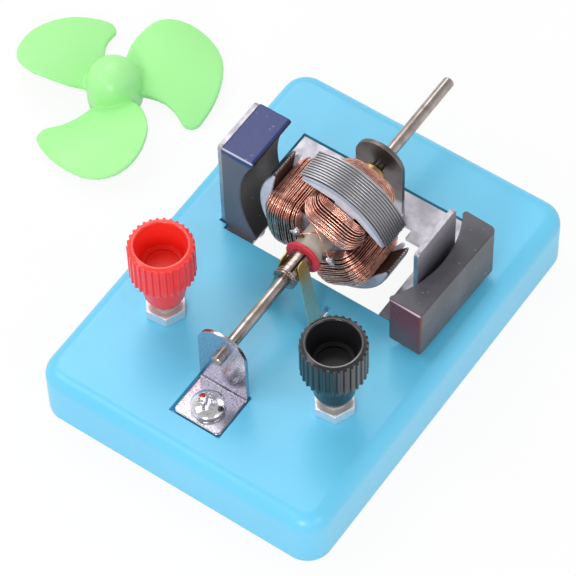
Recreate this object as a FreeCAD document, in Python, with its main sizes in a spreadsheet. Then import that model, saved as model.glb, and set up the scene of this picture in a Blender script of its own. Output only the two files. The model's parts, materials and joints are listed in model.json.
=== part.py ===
"""Demonstration electric motor: three-pole armature between two block magnets on an open base.

Millimetres. +X right, +Y along the shaft to its free end, +Z up.
Origin: centre of the base's underside.
"""
import FreeCAD, Part
import math
import os
import re

import Sketcher
from FreeCAD import Vector

# Driving sizes, in millimetres and degrees. Every one has its own cell in the sheet.
SIZES = {
    # base moulding
    "base_width": 80.0,
    "base_length": 110.0,
    "base_height": 16.0,
    "base_corner_radius": 6.4,
    "base_edge_round": 4.0,
    "base_wall": 2.2,
    "deck_thickness": 3.2,
    "window_width": 44.0,
    "window_front": 3.7,
    "window_back": 34.0,
    "window_corner_radius": 1.5,
    "window_rim": 5.0,
    "rib_thickness": 1.6,
    "rib_depth": 6.0,
    # shaft
    "shaft_height": 30.0,
    "shaft_radius": 1.5,
    "stop_groove_radius": 1.2,
    "stop_groove_width": 0.9,
    "stop_groove_gap": 0.4,
    "shaft_front_reach": 3.5,
    "shaft_back": 61.9,
    "shaft_chamfer": 0.4,
    "bearing_play": 0.05,
    "seat_play": 0.03,
    # field yoke: one bent sheet with two arms and the rear bearing tab
    "yoke_sheet": 1.2,
    "yoke_recess": 1.6,
    "yoke_front": 3.7,
    "yoke_back": 37.2,
    "yoke_half_width": 26.0,
    "rail_inner": 18.4,
    "arm_outer": 28.2,
    "arm_front": 5.0,
    "arm_back": 21.0,
    "arm_top": 46.0,
    "arm_corner_round": 1.2,
    "web_front": 25.6,
    "notch_half_width": 11.4,
    "notch_back": 28.7,
    "bend_inner_round": 0.5,
    "bend_outer_round": 1.6,
    "tab_half_width": 6.7,
    "tab_relief": 0.6,
    "tab_front": 31.0,
    "tab_top": 38.0,
    "recess_gap": 0.45,
    # yoke screws, driven up from below
    "yoke_screw_x": 24.2,
    "yoke_screw_y": 13.0,
    "yoke_boss_radius": 3.6,
    "yoke_boss_depth": 6.8,
    "yoke_screw_radius": 1.2,
    "yoke_screw_head_radius": 2.4,
    "yoke_screw_head_height": 1.6,
    "screw_play": 0.08,
    # block magnets
    "magnet_length": 31.0,
    "magnet_width": 16.0,
    "magnet_thickness": 9.2,
    "magnet_arc_radius": 26.8,
    "magnet_land": 1.0,
    "magnet_edge_round": 0.8,
    "magnet_foot_round": 1.7,
    "magnet_play": 0.05,
    "magnet_back": 20.5,
    "loose_magnet_y": 12.8,
    "loose_magnet_turn": -2.0,
    "loose_magnet_gap": 0.1,
    "loose_magnet_rise": 3.0,
    # front bracket
    "bracket_sheet": 1.0,
    "bracket_recess": 1.2,
    "bracket_half_width": 6.7,
    "bracket_inset": 9.4,
    "bracket_depth": 12.6,
    "bracket_top": 37.6,
    "bracket_corner_round": 1.5,
    "bracket_bend_inner": 0.5,
    "bracket_bend_outer": 1.3,
    # bracket screw
    "bracket_screw_inset": 5.3,
    "bracket_screw_radius": 1.95,
    "bracket_screw_length": 9.0,
    "bracket_screw_head_radius": 4.15,
    "bracket_screw_head_height": 2.8,
    "bracket_boss_radius": 4.2,
    "bracket_boss_depth": 7.5,
    "screw_crown": 0.55,
    "cross_share": 0.58,
    "cross_blade": 0.95,
    "cross_depth_share": 0.62,
    # armature
    "rotor_turn": -24.0,
    "pole_turn": 120.0,
    "core_back": 16.7,
    "core_radius": 18.5,
    "core_hub_radius": 5.0,
    "pole_overlap": 1.0,
    "lamination": 0.75,
    "lamination_count": 11,
    "lamination_gap": 0.16,
    "rim_groove_depth": 0.3,
    "neck_width": 6.0,
    "neck_top": 15.2,
    "shoe_half_angle": 46.5,
    "shoe_tip": 0.4,
    "end_plate": 0.9,
    "plate_half_angle": 43.5,
    "plate_tip": 0.9,
    "front_plate_radius": 18.4,
    "rear_plate_radius": 17.0,
    # windings
    "coil_gap": 0.15,
    "coil_corner": 0.3,
    "coil_depth": 4.7,
    "coil_taper": 0.32,
    "coil_inner": 5.3,
    "coil_outer": 13.8,
    "turn_groove": 0.28,
    # commutator, sleeves and collars
    "drum_radius": 2.2,
    "drum_front": -7.5,
    "segment_radius": 2.9,
    "segment_half_angle": 54.0,
    "collar_length": 1.3,
    "collar_radius": 3.05,
    "collar_groove": 0.35,
    "washer_front": -1.3,
    "washer_radius": 4.65,
    "washer_thickness": 0.8,
    "sleeve_radius": 3.8,
    "tag_reach": 7.0,
    "tag_width": 2.0,
    "tag_thickness": 0.5,
    "tag_back": 2.0,
    "rear_sleeve_end": 24.6,
    "rear_collar_radius": 3.3,
    "rear_collar_end": 28.6,
    "thrust_washer_radius": 2.4,
    "thrust_washer_thickness": 0.8,
    "face_play": 0.05,
    # brushes
    "brush_sheet": 0.3,
    "brush_play": 0.06,
    "right_brush_foot": 7.5,
    "left_brush_foot": 5.8,
    "brush_top": 33.8,
    "brush_front": -9.8,
    "brush_back": -4.9,
    "brush_tip_front": -6.5,
    "brush_tip_back": -3.0,
    "brush_tip_round": 1.5,
    "brush_foot_length": 5.5,
    "slot_width": 1.4,
    "slot_back": -1.2,
    # link strips from brush to terminal
    "link_sheet": 0.5,
    "link_width": 5.0,
    "link_eye_radius": 3.6,
    # terminals
    "terminal_side_inset": 15.8,
    "terminal_front_inset": 31.5,
    "stud_radius": 1.95,
    "stud_bottom": 5.0,
    "stud_top": 30.0,
    "stud_chamfer": 0.2,
    "thread_play": 0.05,
    "top_nut_flats": 9.3,
    "top_nut_height": 3.2,
    "lock_nut_flats": 7.0,
    "lock_nut_height": 2.8,
    "top_nut_turn": 36.3,
    "lock_nut_turn": 10.0,
    "nut_chamfer": 0.5,
    "nut_chamfer_fall": 0.7,
    "lock_washer_radius": 4.2,
    "lock_washer_thickness": 0.6,
    "bush_radius": 2.75,
    "bush_bottom": 19.9,
    "bush_length": 13.1,
    "cap_bottom": 21.6,
    "cap_cone_bottom_radius": 4.2,
    "cap_cone_top_radius": 5.5,
    "cap_rib_bottom": 32.1,
    "cap_top": 42.6,
    "cap_lip_height": 0.45,
    "cap_lip_radius": 6.9,
    "cap_core_radius": 7.55,
    "cap_rib_width": 1.1,
    "cap_rib_crest": 0.5,
    "cap_rib_height": 0.45,
    "cap_rib_count": 30,
    "cup_mouth_radius": 6.25,
    "cup_floor_radius": 5.0,
    "cup_floor": 35.2,
    "cup_well_radius": 4.1,
    "cup_well_depth": 1.0,
    # fan
    "fan_x": -79.5,
    "fan_y": 29.5,
    "fan_turn": 58.0,
    "fan_dome_radius": 7.1,
    "fan_skirt": 6.7,
    "fan_wall": 1.3,
    "fan_boss_radius": 3.2,
    "fan_bore_squeeze": 0.02,
    "fan_bore_depth": 9.0,
    "blade_thickness": 1.3,
    "blade_root": 4.0,
    "blade_middle": 16.0,
    "blade_tip": 29.6,
    "blade_root_level": 3.2,
    "blade_middle_level": 5.9,
    "blade_tip_level": 3.4,
    "blade_root_slope": 0.30,
    "blade_middle_slope": 0.31,
    "blade_tip_slope": 0.08,
    "blade_near": 19.0,
    "blade_far": 13.0,
    "blade_lead_root_x": 4.2,
    "blade_lead_root_y": -3.6,
    "blade_lead_root_radius": 24.0,
    "blade_lead_hollow_x": 9.6,
    "blade_lead_hollow_y": -8.2,
    "blade_lead_hollow_radius": 12.0,
    "blade_lobe_start_x": 12.0,
    "blade_lobe_start_y": -14.8,
    "blade_lobe_start_radius": 3.1,
    "blade_lobe_end_x": 16.6,
    "blade_lobe_end_y": -17.4,
    "blade_lobe_end_radius": 24.0,
    "blade_nose_x": 27.4,
    "blade_nose_y": -6.2,
    "blade_nose_radius": 12.5,
    "blade_tail_x": 24.6,
    "blade_tail_y": 8.6,
    "blade_tail_radius": 12.0,
    "blade_trail_bend_x": 16.0,
    "blade_trail_bend_y": 11.2,
    "blade_trail_bend_radius": 28.0,
    "blade_trail_side_x": 8.0,
    "blade_trail_side_y": 8.2,
    "blade_trail_root_x": 4.2,
    "blade_trail_root_y": 4.8,
}

# Places that follow from the driving sizes. Each is a formula cell of the same sheet.
PLACES = {
    "deck_under": "base_height - deck_thickness",
    "bracket_foot_front": "bracket_inset - base_length / 2",
    "bracket_upright_back": "bracket_foot_front + bracket_depth",
    "bracket_screw_y": "bracket_foot_front + bracket_screw_inset",
    "shaft_front": "bracket_upright_back - shaft_front_reach",
    "terminal_x": "base_width / 2 - terminal_side_inset",
    "terminal_y": "terminal_front_inset - base_length / 2",
    "plate_bottom": "base_height - yoke_recess",
    "plate_top": "base_height - yoke_recess + yoke_sheet",
    "arm_inner": "arm_outer - yoke_sheet",
    "tab_back": "tab_front + yoke_sheet",
    "foot_bottom": "base_height - bracket_recess",
    "foot_top": "base_height - bracket_recess + bracket_sheet",
    "bearing_radius": "shaft_radius + bearing_play",
    "seat_radius": "shaft_radius + seat_play",
    "core_length": "lamination * lamination_count",
    "core_front": "core_back - core_length",
    "neck_half": "neck_width / 2",
    "drum_back": "washer_front - face_play",
    "washer_back": "washer_front + washer_thickness",
    "link_top": "deck_under - face_play",
    "link_bottom": "link_top - link_sheet",
    "brush_foot_top": "link_bottom - face_play",
    "brush_rise": "shaft_height - base_height",
    "right_brush_reach": "sqrt(right_brush_foot ^ 2 + brush_rise ^ 2)",
    "right_brush_angle": "atan(right_brush_foot / brush_rise) - asin((segment_radius + brush_play) / right_brush_reach)",
    "right_brush_lean": "tan(right_brush_angle)",
    "left_brush_reach": "sqrt(left_brush_foot ^ 2 + brush_rise ^ 2)",
    "left_brush_angle": "atan(left_brush_foot / brush_rise) - asin((segment_radius + brush_play) / left_brush_reach)",
    "left_brush_lean": "tan(left_brush_angle)",
    "washer_under": "link_bottom - face_play - lock_washer_thickness",
    "fan_turn_step": "360 / 3",
    "fan_bore_radius": "shaft_radius - fan_bore_squeeze",
    "blade_trim_reach": "blade_tip + blade_near",
}

document = FreeCAD.newDocument("demonstration_motor")
sheet = document.addObject("Spreadsheet::Sheet", "Sizes")


def fill_sheet():
    """Write each size as a plain number and each place as a formula, with its name as alias."""
    row = 0
    for name, number in SIZES.items():
        row += 1
        sheet.set("A%d" % row, name)
        sheet.set("B%d" % row, str(number))
        sheet.setAlias("B%d" % row, name)
    for name, formula in PLACES.items():
        row += 1
        sheet.set("A%d" % row, name)
        sheet.set("B%d" % row, "=" + formula)
        sheet.setAlias("B%d" % row, name)
    document.recompute()


def sized(text):
    """Put the sheet's name in front of every size or place that an expression uses."""
    def owner(match):
        word = match.group()
        return "Sizes." + word if word in SIZES or word in PLACES else word
    return re.sub(r"[a-z][a-z_]*", owner, str(text))


def value(text):
    """What an expression comes to now."""
    return float(sheet.evalExpression(sized(text)))


# ---------------------------------------------------------------- bodies, sketches and features
# Two places count as one when they are nearer than this.
NEAR = 1e-4
SHAFT_FRAME = "rotation(vector(1; 0; 0); 90)"
SPIN = "rotation(vector(0; 0; 1); %s)"


def new_body(label, x="0", y="0", z="0", turn=SPIN % "0"):
    """A body with its own label, placed by expressions."""
    body = document.addObject("PartDesign::Body", label)
    body.Label = label
    where = "placement(vector(%s; %s; %s); %s)" % (x, y, z, turn)
    body.setExpression("Placement", sized(where))
    return body


def rotor_body(label, back, turn="rotor_turn"):
    """A body on the shaft: local Z runs to the front, local Y is the pole's direction."""
    return new_body(label, y=back, z="shaft_height", turn=SHAFT_FRAME + " * " + SPIN % turn)


def origin_feature(body, role):
    """One of the body's own origin planes or axes."""
    for item in body.Origin.OriginFeatures:
        if item.Role == role:
            return item


def new_sketch(body, name, plane="XY_Plane", lift="0"):
    """An empty sketch on one of the body's planes, lifted along that plane's normal."""
    sketch = body.newObject("Sketcher::SketchObject", name)
    sketch.AttachmentSupport = (origin_feature(body, plane), [""])
    sketch.MapMode = "FlatFace"
    sketch.setExpression("AttachmentOffset.Base.z", sized(lift))
    return sketch


def fix_point(sketch, number, spot, x, y):
    """Hold a point of the sketch at expressions for x and y."""
    for kind, axis, text in (("DistanceX", -2, x), ("DistanceY", -1, y)):
        if value(text) == 0:
            sketch.addConstraint(Sketcher.Constraint("PointOnObject", number, spot, axis))
        else:
            held = sketch.addConstraint(Sketcher.Constraint(kind, -1, 1, number, spot, value(text)))
            sketch.setExpression("Constraints[%d]" % held, sized(text))


def arc_between(start, end, radius, turn):
    """The short arc from start to end; turn is 1 counterclockwise and -1 clockwise."""
    chord = end - start
    left = Vector(-chord.y, chord.x, 0)
    left.normalize()
    rise = math.sqrt(radius ** 2 - (chord.Length / 2) ** 2)
    centre = (start + end) * 0.5 + left * turn * rise
    first, last = (start, end) if turn > 0 else (end, start)
    begin = math.atan2(first.y - centre.y, first.x - centre.x)
    finish = math.atan2(last.y - centre.y, last.x - centre.x)
    if finish < begin:
        finish += 2 * math.pi
    return Part.ArcOfCircle(Part.Circle(centre, Vector(0, 0, 1), radius), begin, finish)


def draw(sketch, corners, arcs=None):
    """Draw a closed outline. arcs gives (radius, turn) for the side that starts at a corner."""
    arcs = arcs or {}
    count = len(corners)
    points = [Vector(value(x), value(y), 0) for x, y in corners]
    numbers = []
    starts = []
    ends = []
    for index, start in enumerate(points):
        end = points[(index + 1) % count]
        if index in arcs:
            radius, turn = arcs[index]
            number = sketch.addGeometry(arc_between(start, end, value(radius), turn), False)
            starts.append(1 if turn > 0 else 2)
            ends.append(2 if turn > 0 else 1)
        else:
            number = sketch.addGeometry(Part.LineSegment(start, end), False)
            starts.append(1)
            ends.append(2)
        numbers.append(number)
    for index in range(count):
        following = (index + 1) % count
        sketch.addConstraint(Sketcher.Constraint(
            "Coincident", numbers[index], ends[index], numbers[following], starts[following]))
    for index, (x, y) in enumerate(corners):
        fix_point(sketch, numbers[index], starts[index], x, y)
    for index, (radius, turn) in arcs.items():
        held = sketch.addConstraint(Sketcher.Constraint("Radius", numbers[index], value(radius)))
        sketch.setExpression("Constraints[%d]" % held, sized(radius))


def draw_box(sketch, left, right, bottom, top):
    """Draw a rectangle between four expressions."""
    draw(sketch, [(left, bottom), (right, bottom), (right, top), (left, top)])


def draw_circle(sketch, x, y, radius):
    """Draw a circle."""
    centre = Vector(value(x), value(y), 0)
    number = sketch.addGeometry(Part.Circle(centre, Vector(0, 0, 1), value(radius)), False)
    fix_point(sketch, number, 3, x, y)
    held = sketch.addConstraint(Sketcher.Constraint("Radius", number, value(radius)))
    sketch.setExpression("Constraints[%d]" % held, sized(radius))


def volume(body):
    """The volume the body has reached."""
    document.recompute()
    return body.Shape.Volume


def pad(body, name, sketch, length, backwards=False):
    """Add the sketch's area, grown along its normal or against it."""
    feature = body.newObject("PartDesign::Pad", name)
    feature.Profile = sketch
    feature.setExpression("Length", sized(length))
    feature.Reversed = backwards
    document.recompute()
    return feature


def pocket(body, name, sketch, depth=None, upwards=False):
    """Cut the sketch's area to a depth, or through all when none is given."""
    before = volume(body)
    feature = body.newObject("PartDesign::Pocket", name)
    feature.Profile = sketch
    if depth is None:
        feature.Type = "ThroughAll"
        feature.SideType = "Symmetric"
    else:
        feature.setExpression("Length", sized(depth))
        feature.Reversed = upwards
    if not volume(body) < before:
        raise ValueError("%s cuts nothing" % name)
    return feature


def turned(body, name, corners, arcs=None):
    """Revolve a profile, given as (radius, height), about the body's Z axis."""
    sketch = new_sketch(body, name + "_profile", "XZ_Plane")
    draw(sketch, corners, arcs)
    feature = body.newObject("PartDesign::Revolution", name)
    feature.Profile = sketch
    feature.ReferenceAxis = (origin_feature(body, "Z_Axis"), [""])
    feature.Angle = 360
    document.recompute()
    return feature


def cut_ring(body, name, corners):
    """Cut a groove all round the body's Z axis."""
    before = volume(body)
    sketch = new_sketch(body, name + "_profile", "XZ_Plane")
    draw(sketch, corners)
    feature = body.newObject("PartDesign::Groove", name)
    feature.Profile = sketch
    feature.ReferenceAxis = (origin_feature(body, "Z_Axis"), [""])
    feature.Angle = 360
    if not volume(body) < before:
        raise ValueError("%s cuts nothing" % name)
    return feature


def around(body, name, features, count):
    """Repeat features evenly about the body's Z axis."""
    feature = body.newObject("PartDesign::PolarPattern", name)
    feature.Originals = features
    feature.Axis = (origin_feature(body, "Z_Axis"), [""])
    feature.Angle = 360
    feature.setExpression("Occurrences", sized(count))
    body.Tip = feature
    document.recompute()
    return feature


def along(body, name, features, axis, pitch, count):
    """Repeat features in a row, one pitch apart."""
    feature = body.newObject("PartDesign::LinearPattern", name)
    feature.Originals = features
    feature.Direction = (origin_feature(body, axis), [""])
    feature.setExpression("Length", sized("(%s) * (%s - 1)" % (pitch, count)))
    feature.setExpression("Occurrences", sized(count))
    body.Tip = feature
    document.recompute()
    return feature


def spans(edge, axis):
    """The lowest and highest place of an edge along X, Y or Z."""
    box = edge.BoundBox
    return {"X": (box.XMin, box.XMax), "Y": (box.YMin, box.YMax), "Z": (box.ZMin, box.ZMax)}[axis]


def lies_at(edge, axis, place):
    """Whether all of an edge lies at a place along an axis."""
    low, high = spans(edge, axis)
    return abs(low - value(place)) < NEAR and abs(high - value(place)) < NEAR


def runs(edge, axis):
    """Whether an edge is a straight line along an axis."""
    still = [other for other in "XYZ" if other != axis]
    return all(spans(edge, other)[1] - spans(edge, other)[0] < NEAR for other in still)


def rounded(body, name, base, test, radius):
    """Round the edges of a feature that pass a test."""
    edges = ["Edge%d" % (index + 1) for index, edge in enumerate(base.Shape.Edges) if test(edge)]
    if not edges:
        raise ValueError("%s finds no edge" % name)
    feature = body.newObject("PartDesign::Fillet", name)
    feature.Base = (base, edges)
    feature.setExpression("Radius", sized(radius))
    document.recompute()
    return feature


# ---------------------------------------------------------------- base and field frame
def yoke_outline(gap):
    """Plan of the yoke's ears and rails, grown all round by a gap."""
    side = "(yoke_half_width + %s)" % gap
    ear = "(arm_outer + %s)" % gap
    front = "(yoke_front - %s)" % gap
    back = "(yoke_back + %s)" % gap
    ear_front = "(arm_front - %s)" % gap
    ear_back = "(arm_back + %s)" % gap
    return [("-" + side, front), (side, front), (side, ear_front), (ear, ear_front), (ear, ear_back),
            (side, ear_back), (side, back), ("-" + side, back), ("-" + side, ear_back),
            ("-" + ear, ear_back), ("-" + ear, ear_front), ("-" + side, ear_front)]


def make_base():
    """Open-bottomed moulding: deck, skirt, window wall, screw bosses, recesses, slots and holes."""
    body = new_body("base_moulding")
    outer = new_sketch(body, "base_outline")
    draw_box(outer, "-base_width / 2", "base_width / 2", "-base_length / 2", "base_length / 2")
    block = pad(body, "base_block", outer, "base_height")
    corners = rounded(body, "base_corners", block, lambda edge: runs(edge, "Z"), "base_corner_radius")
    rounded(body, "base_top_round", corners,
            lambda edge: lies_at(edge, "Z", "base_height"), "base_edge_round")

    inside = new_sketch(body, "hollow_outline")
    half_width = "(base_width / 2 - base_wall)"
    half_length = "(base_length / 2 - base_wall)"
    bend = "(base_corner_radius - base_wall)"
    draw(inside,
         [("-%s + %s" % (half_width, bend), "-" + half_length),
          ("%s - %s" % (half_width, bend), "-" + half_length),
          (half_width, "-%s + %s" % (half_length, bend)),
          (half_width, "%s - %s" % (half_length, bend)),
          ("%s - %s" % (half_width, bend), half_length),
          ("-%s + %s" % (half_width, bend), half_length),
          ("-" + half_width, "%s - %s" % (half_length, bend)),
          ("-" + half_width, "-%s + %s" % (half_length, bend))],
         {1: (bend, 1), 3: (bend, 1), 5: (bend, 1), 7: (bend, 1)})
    draw_box(inside, "-window_width / 2 - base_wall", "window_width / 2 + base_wall",
             "window_front - base_wall", "window_back + base_wall")
    pocket(body, "hollow", inside, "deck_under", upwards=True)
    room = new_sketch(body, "rim_relief")
    draw_box(room, "-window_width / 2 - 2 * base_wall", "window_width / 2 + 2 * base_wall",
             "window_front - 2 * base_wall", "window_back + 2 * base_wall")
    pocket(body, "rim_room", room, "deck_under - window_rim", upwards=True)

    bosses = new_sketch(body, "screw_boss_outline", lift="deck_under")
    draw_circle(bosses, "0", "bracket_screw_y", "bracket_boss_radius")
    pad(body, "screw_boss", bosses, "bracket_boss_depth", backwards=True)
    pillars = new_sketch(body, "yoke_boss_outline", lift="deck_under")
    draw_circle(pillars, "yoke_screw_x", "yoke_screw_y", "yoke_boss_radius")
    draw_circle(pillars, "-yoke_screw_x", "yoke_screw_y", "yoke_boss_radius")
    pad(body, "yoke_bosses", pillars, "yoke_boss_depth", backwards=True)
    ribs = new_sketch(body, "rib_outline", lift="deck_under")
    draw_box(ribs, "-rib_thickness / 2", "rib_thickness / 2",
             "window_back + base_wall / 2", "base_length / 2 - base_wall / 2")
    draw_box(ribs, "-rib_thickness / 2", "rib_thickness / 2",
             "base_wall / 2 - base_length / 2", "bracket_screw_y - bracket_boss_radius / 2")
    pad(body, "deck_ribs", ribs, "rib_depth", backwards=True)
    keel = new_sketch(body, "keel_outline", lift="deck_under")
    draw_box(keel, "-rib_thickness / 2", "rib_thickness / 2",
             "bracket_screw_y + bracket_boss_radius / 2", "window_front - base_wall / 2")
    pad(body, "keel", keel, "deck_under", backwards=True)

    opening = new_sketch(body, "window_outline")
    draw_box(opening, "-window_width / 2", "window_width / 2", "window_front", "window_back")
    window = pocket(body, "window", opening)
    half_window = value("window_width / 2")
    rounded(body, "window_corners", window,
            lambda edge: runs(edge, "Z") and abs(abs(spans(edge, "X")[0]) - half_window) < NEAR,
            "window_corner_radius")

    seat = new_sketch(body, "yoke_seat_outline", lift="base_height")
    draw(seat, yoke_outline("recess_gap"))
    pocket(body, "yoke_seat", seat, "yoke_recess")
    foot = new_sketch(body, "bracket_seat_outline", lift="base_height")
    draw_box(foot, "-bracket_half_width - recess_gap", "bracket_half_width + recess_gap",
             "bracket_foot_front - recess_gap", "bracket_upright_back + recess_gap")
    pocket(body, "bracket_seat", foot, "bracket_recess")

    holes = new_sketch(body, "hole_outlines", lift="base_height")
    draw_circle(holes, "terminal_x", "terminal_y", "stud_radius + 2 * thread_play")
    draw_circle(holes, "-terminal_x", "terminal_y", "stud_radius + 2 * thread_play")
    draw_circle(holes, "yoke_screw_x", "yoke_screw_y", "yoke_screw_radius + screw_play")
    draw_circle(holes, "-yoke_screw_x", "yoke_screw_y", "yoke_screw_radius + screw_play")
    draw_circle(holes, "0", "bracket_screw_y", "bracket_screw_radius + screw_play")
    pocket(body, "holes", holes)
    slots = new_sketch(body, "slot_outlines", lift="base_height")
    for middle in ("right_brush_foot", "-left_brush_foot"):
        draw_box(slots, middle + " - slot_width / 2", middle + " + slot_width / 2",
                 "brush_front - slot_width / 2", "slot_back")
    pocket(body, "slots", slots, "deck_thickness + face_play")
    return body


def make_yoke():
    """Bent steel sheet that carries both magnets and the rear bearing."""
    body = new_body("field_yoke")
    plan = new_sketch(body, "yoke_plan", lift="plate_bottom")
    relief = "(tab_half_width + tab_relief)"
    draw(plan, [("-yoke_half_width", "yoke_front"), ("-rail_inner", "yoke_front"),
                ("-rail_inner", "web_front"), ("-notch_half_width", "web_front"),
                ("-notch_half_width", "notch_back"), ("-" + relief, "notch_back"),
                ("-" + relief, "tab_front"), (relief, "tab_front"), (relief, "notch_back"),
                ("notch_half_width", "notch_back"), ("notch_half_width", "web_front"),
                ("rail_inner", "web_front"), ("rail_inner", "yoke_front"),
                ("yoke_half_width", "yoke_front"), ("yoke_half_width", "arm_front"),
                ("arm_outer", "arm_front"), ("arm_outer", "arm_back"),
                ("yoke_half_width", "arm_back"), ("yoke_half_width", "yoke_back"),
                ("-yoke_half_width", "yoke_back"), ("-yoke_half_width", "arm_back"),
                ("-arm_outer", "arm_back"), ("-arm_outer", "arm_front"),
                ("-yoke_half_width", "arm_front")])
    pad(body, "yoke_plate", plan, "yoke_sheet")
    arms = new_sketch(body, "arm_plan", lift="plate_bottom")
    draw_box(arms, "arm_inner", "arm_outer", "arm_front", "arm_back")
    draw_box(arms, "-arm_outer", "-arm_inner", "arm_front", "arm_back")
    pad(body, "arms", arms, "arm_top - plate_bottom")
    tab = new_sketch(body, "tab_face", "XZ_Plane", lift="-tab_back")
    draw_box(tab, "-tab_half_width", "tab_half_width", "plate_bottom", "tab_top")
    raised = pad(body, "bearing_tab", tab, "yoke_sheet")
    arch = rounded(body, "tab_arch", raised,
                   lambda edge: runs(edge, "Y") and lies_at(edge, "Z", "tab_top"),
                   "tab_half_width - face_play")
    tops = rounded(body, "arm_corners", arch,
                   lambda edge: runs(edge, "X") and lies_at(edge, "Z", "arm_top"), "arm_corner_round")
    inner = rounded(
        body, "inner_bends", tops,
        lambda edge: lies_at(edge, "Z", "plate_top") and (
            (runs(edge, "Y") and abs(abs(spans(edge, "X")[0]) - value("arm_inner")) < NEAR)
            or (runs(edge, "X") and lies_at(edge, "Y", "tab_back"))),
        "bend_inner_round")
    rounded(
        body, "outer_bends", inner,
        lambda edge: lies_at(edge, "Z", "plate_bottom") and runs(edge, "Y")
        and abs(abs(spans(edge, "X")[0]) - value("arm_outer")) < NEAR,
        "bend_outer_round")
    bearing = new_sketch(body, "bearing_hole", "XZ_Plane", lift="-tab_back")
    draw_circle(bearing, "0", "shaft_height", "bearing_radius")
    pocket(body, "bearing", bearing, "yoke_sheet", upwards=True)
    tapped = new_sketch(body, "tapped_holes", lift="plate_bottom")
    draw_circle(tapped, "yoke_screw_x", "yoke_screw_y", "yoke_screw_radius + screw_play")
    draw_circle(tapped, "-yoke_screw_x", "yoke_screw_y", "yoke_screw_radius + screw_play")
    pocket(body, "tappings", tapped, "yoke_sheet", upwards=True)
    return body


def make_bracket():
    """Front bearing: an angle of bright sheet with an arched upright."""
    body = new_body("front_bracket")
    foot = new_sketch(body, "foot_plan", lift="foot_bottom")
    draw_box(foot, "-bracket_half_width", "bracket_half_width",
             "bracket_foot_front", "bracket_upright_back")
    foot_pad = pad(body, "foot", foot, "bracket_sheet")
    rounded(body, "foot_corners", foot_pad,
            lambda edge: runs(edge, "Z") and lies_at(edge, "Y", "bracket_foot_front"),
            "bracket_corner_round")
    face = new_sketch(body, "upright_face", "XZ_Plane", lift="-bracket_upright_back")
    draw_box(face, "-bracket_half_width", "bracket_half_width", "foot_bottom", "bracket_top")
    upright = pad(body, "upright", face, "bracket_sheet")
    arch = rounded(body, "upright_arch", upright,
                   lambda edge: runs(edge, "Y") and lies_at(edge, "Z", "bracket_top"),
                   "bracket_half_width - face_play")
    inner = rounded(body, "bend_inside", arch,
                    lambda edge: runs(edge, "X") and lies_at(edge, "Z", "foot_top"),
                    "bracket_bend_inner")
    rounded(body, "bend_outside", inner,
            lambda edge: runs(edge, "X") and lies_at(edge, "Z", "foot_bottom")
            and lies_at(edge, "Y", "bracket_upright_back"),
            "bracket_bend_outer")
    hole = new_sketch(body, "bracket_bearing_hole", "XZ_Plane", lift="-bracket_upright_back")
    draw_circle(hole, "0", "shaft_height", "bearing_radius")
    pocket(body, "bracket_bearing", hole, "bracket_sheet", upwards=True)
    fixing = new_sketch(body, "fixing_hole", lift="foot_top")
    draw_circle(fixing, "0", "bracket_screw_y", "bracket_screw_radius + 2 * screw_play")
    pocket(body, "fixing", fixing, "bracket_sheet")
    return body


def make_pan_screw(label, x, y, z, turn, head_radius, head_height, shank_radius, length):
    """Pan-head screw with a cross recess: origin under the head, head up in its own frame."""
    body = new_body(label, x, y, z, turn)
    edge_height = "(%s * (1 - screw_crown))" % head_height
    crown = "(%s * screw_crown)" % head_height
    crown_radius = "((%s) ^ 2 + (%s) ^ 2) / (2 * (%s))" % (head_radius, crown, crown)
    turned(body, label + "_blank",
           [("0", "-(%s)" % length), (shank_radius, "-(%s)" % length), (shank_radius, "0"),
            (head_radius, "0"), (head_radius, edge_height), ("0", head_height)],
           {4: (crown_radius, 1)})
    cross = new_sketch(body, label + "_cross", lift=head_height)
    reach = "(%s * cross_share)" % head_radius
    blade = "(%s * cross_share * cross_blade / 4)" % head_radius
    draw(cross, [("-" + blade, "-" + reach), (blade, "-" + reach), (blade, "-" + blade),
                 (reach, "-" + blade), (reach, blade), (blade, blade), (blade, reach),
                 ("-" + blade, reach), ("-" + blade, blade), ("-" + reach, blade),
                 ("-" + reach, "-" + blade), ("-" + blade, "-" + blade)])
    pocket(body, label + "_recess", cross, "%s * cross_depth_share" % head_height)
    return body


def make_magnet(label, x, y, z, turn):
    """Ferrite block with one face hollowed to an arc. Local X points out of the hollow face."""
    body = new_body(label, x, y, z, turn)
    outline = new_sketch(body, label + "_outline")
    half = "(magnet_length / 2)"
    land = "(magnet_length / 2 - magnet_land)"
    draw(outline, [("0", "-" + half), ("magnet_thickness", "-" + half),
                   ("magnet_thickness", "-" + land), ("magnet_thickness", land),
                   ("magnet_thickness", half), ("0", half)],
         {2: ("magnet_arc_radius", -1)})
    block = pad(body, label + "_block", outline, "magnet_width")
    foot = rounded(body, label + "_foot", block,
                   lambda edge: runs(edge, "Z") and lies_at(edge, "X", 0)
                   and lies_at(edge, "Y", -value(half)), "magnet_foot_round")
    rounded(body, label + "_edges", foot,
            lambda edge: runs(edge, "Z") and (lies_at(edge, "Y", value(half))
                                              or lies_at(edge, "Y", -value(half))
                                              and lies_at(edge, "X", value("magnet_thickness"))),
            "magnet_edge_round")
    return body


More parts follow.
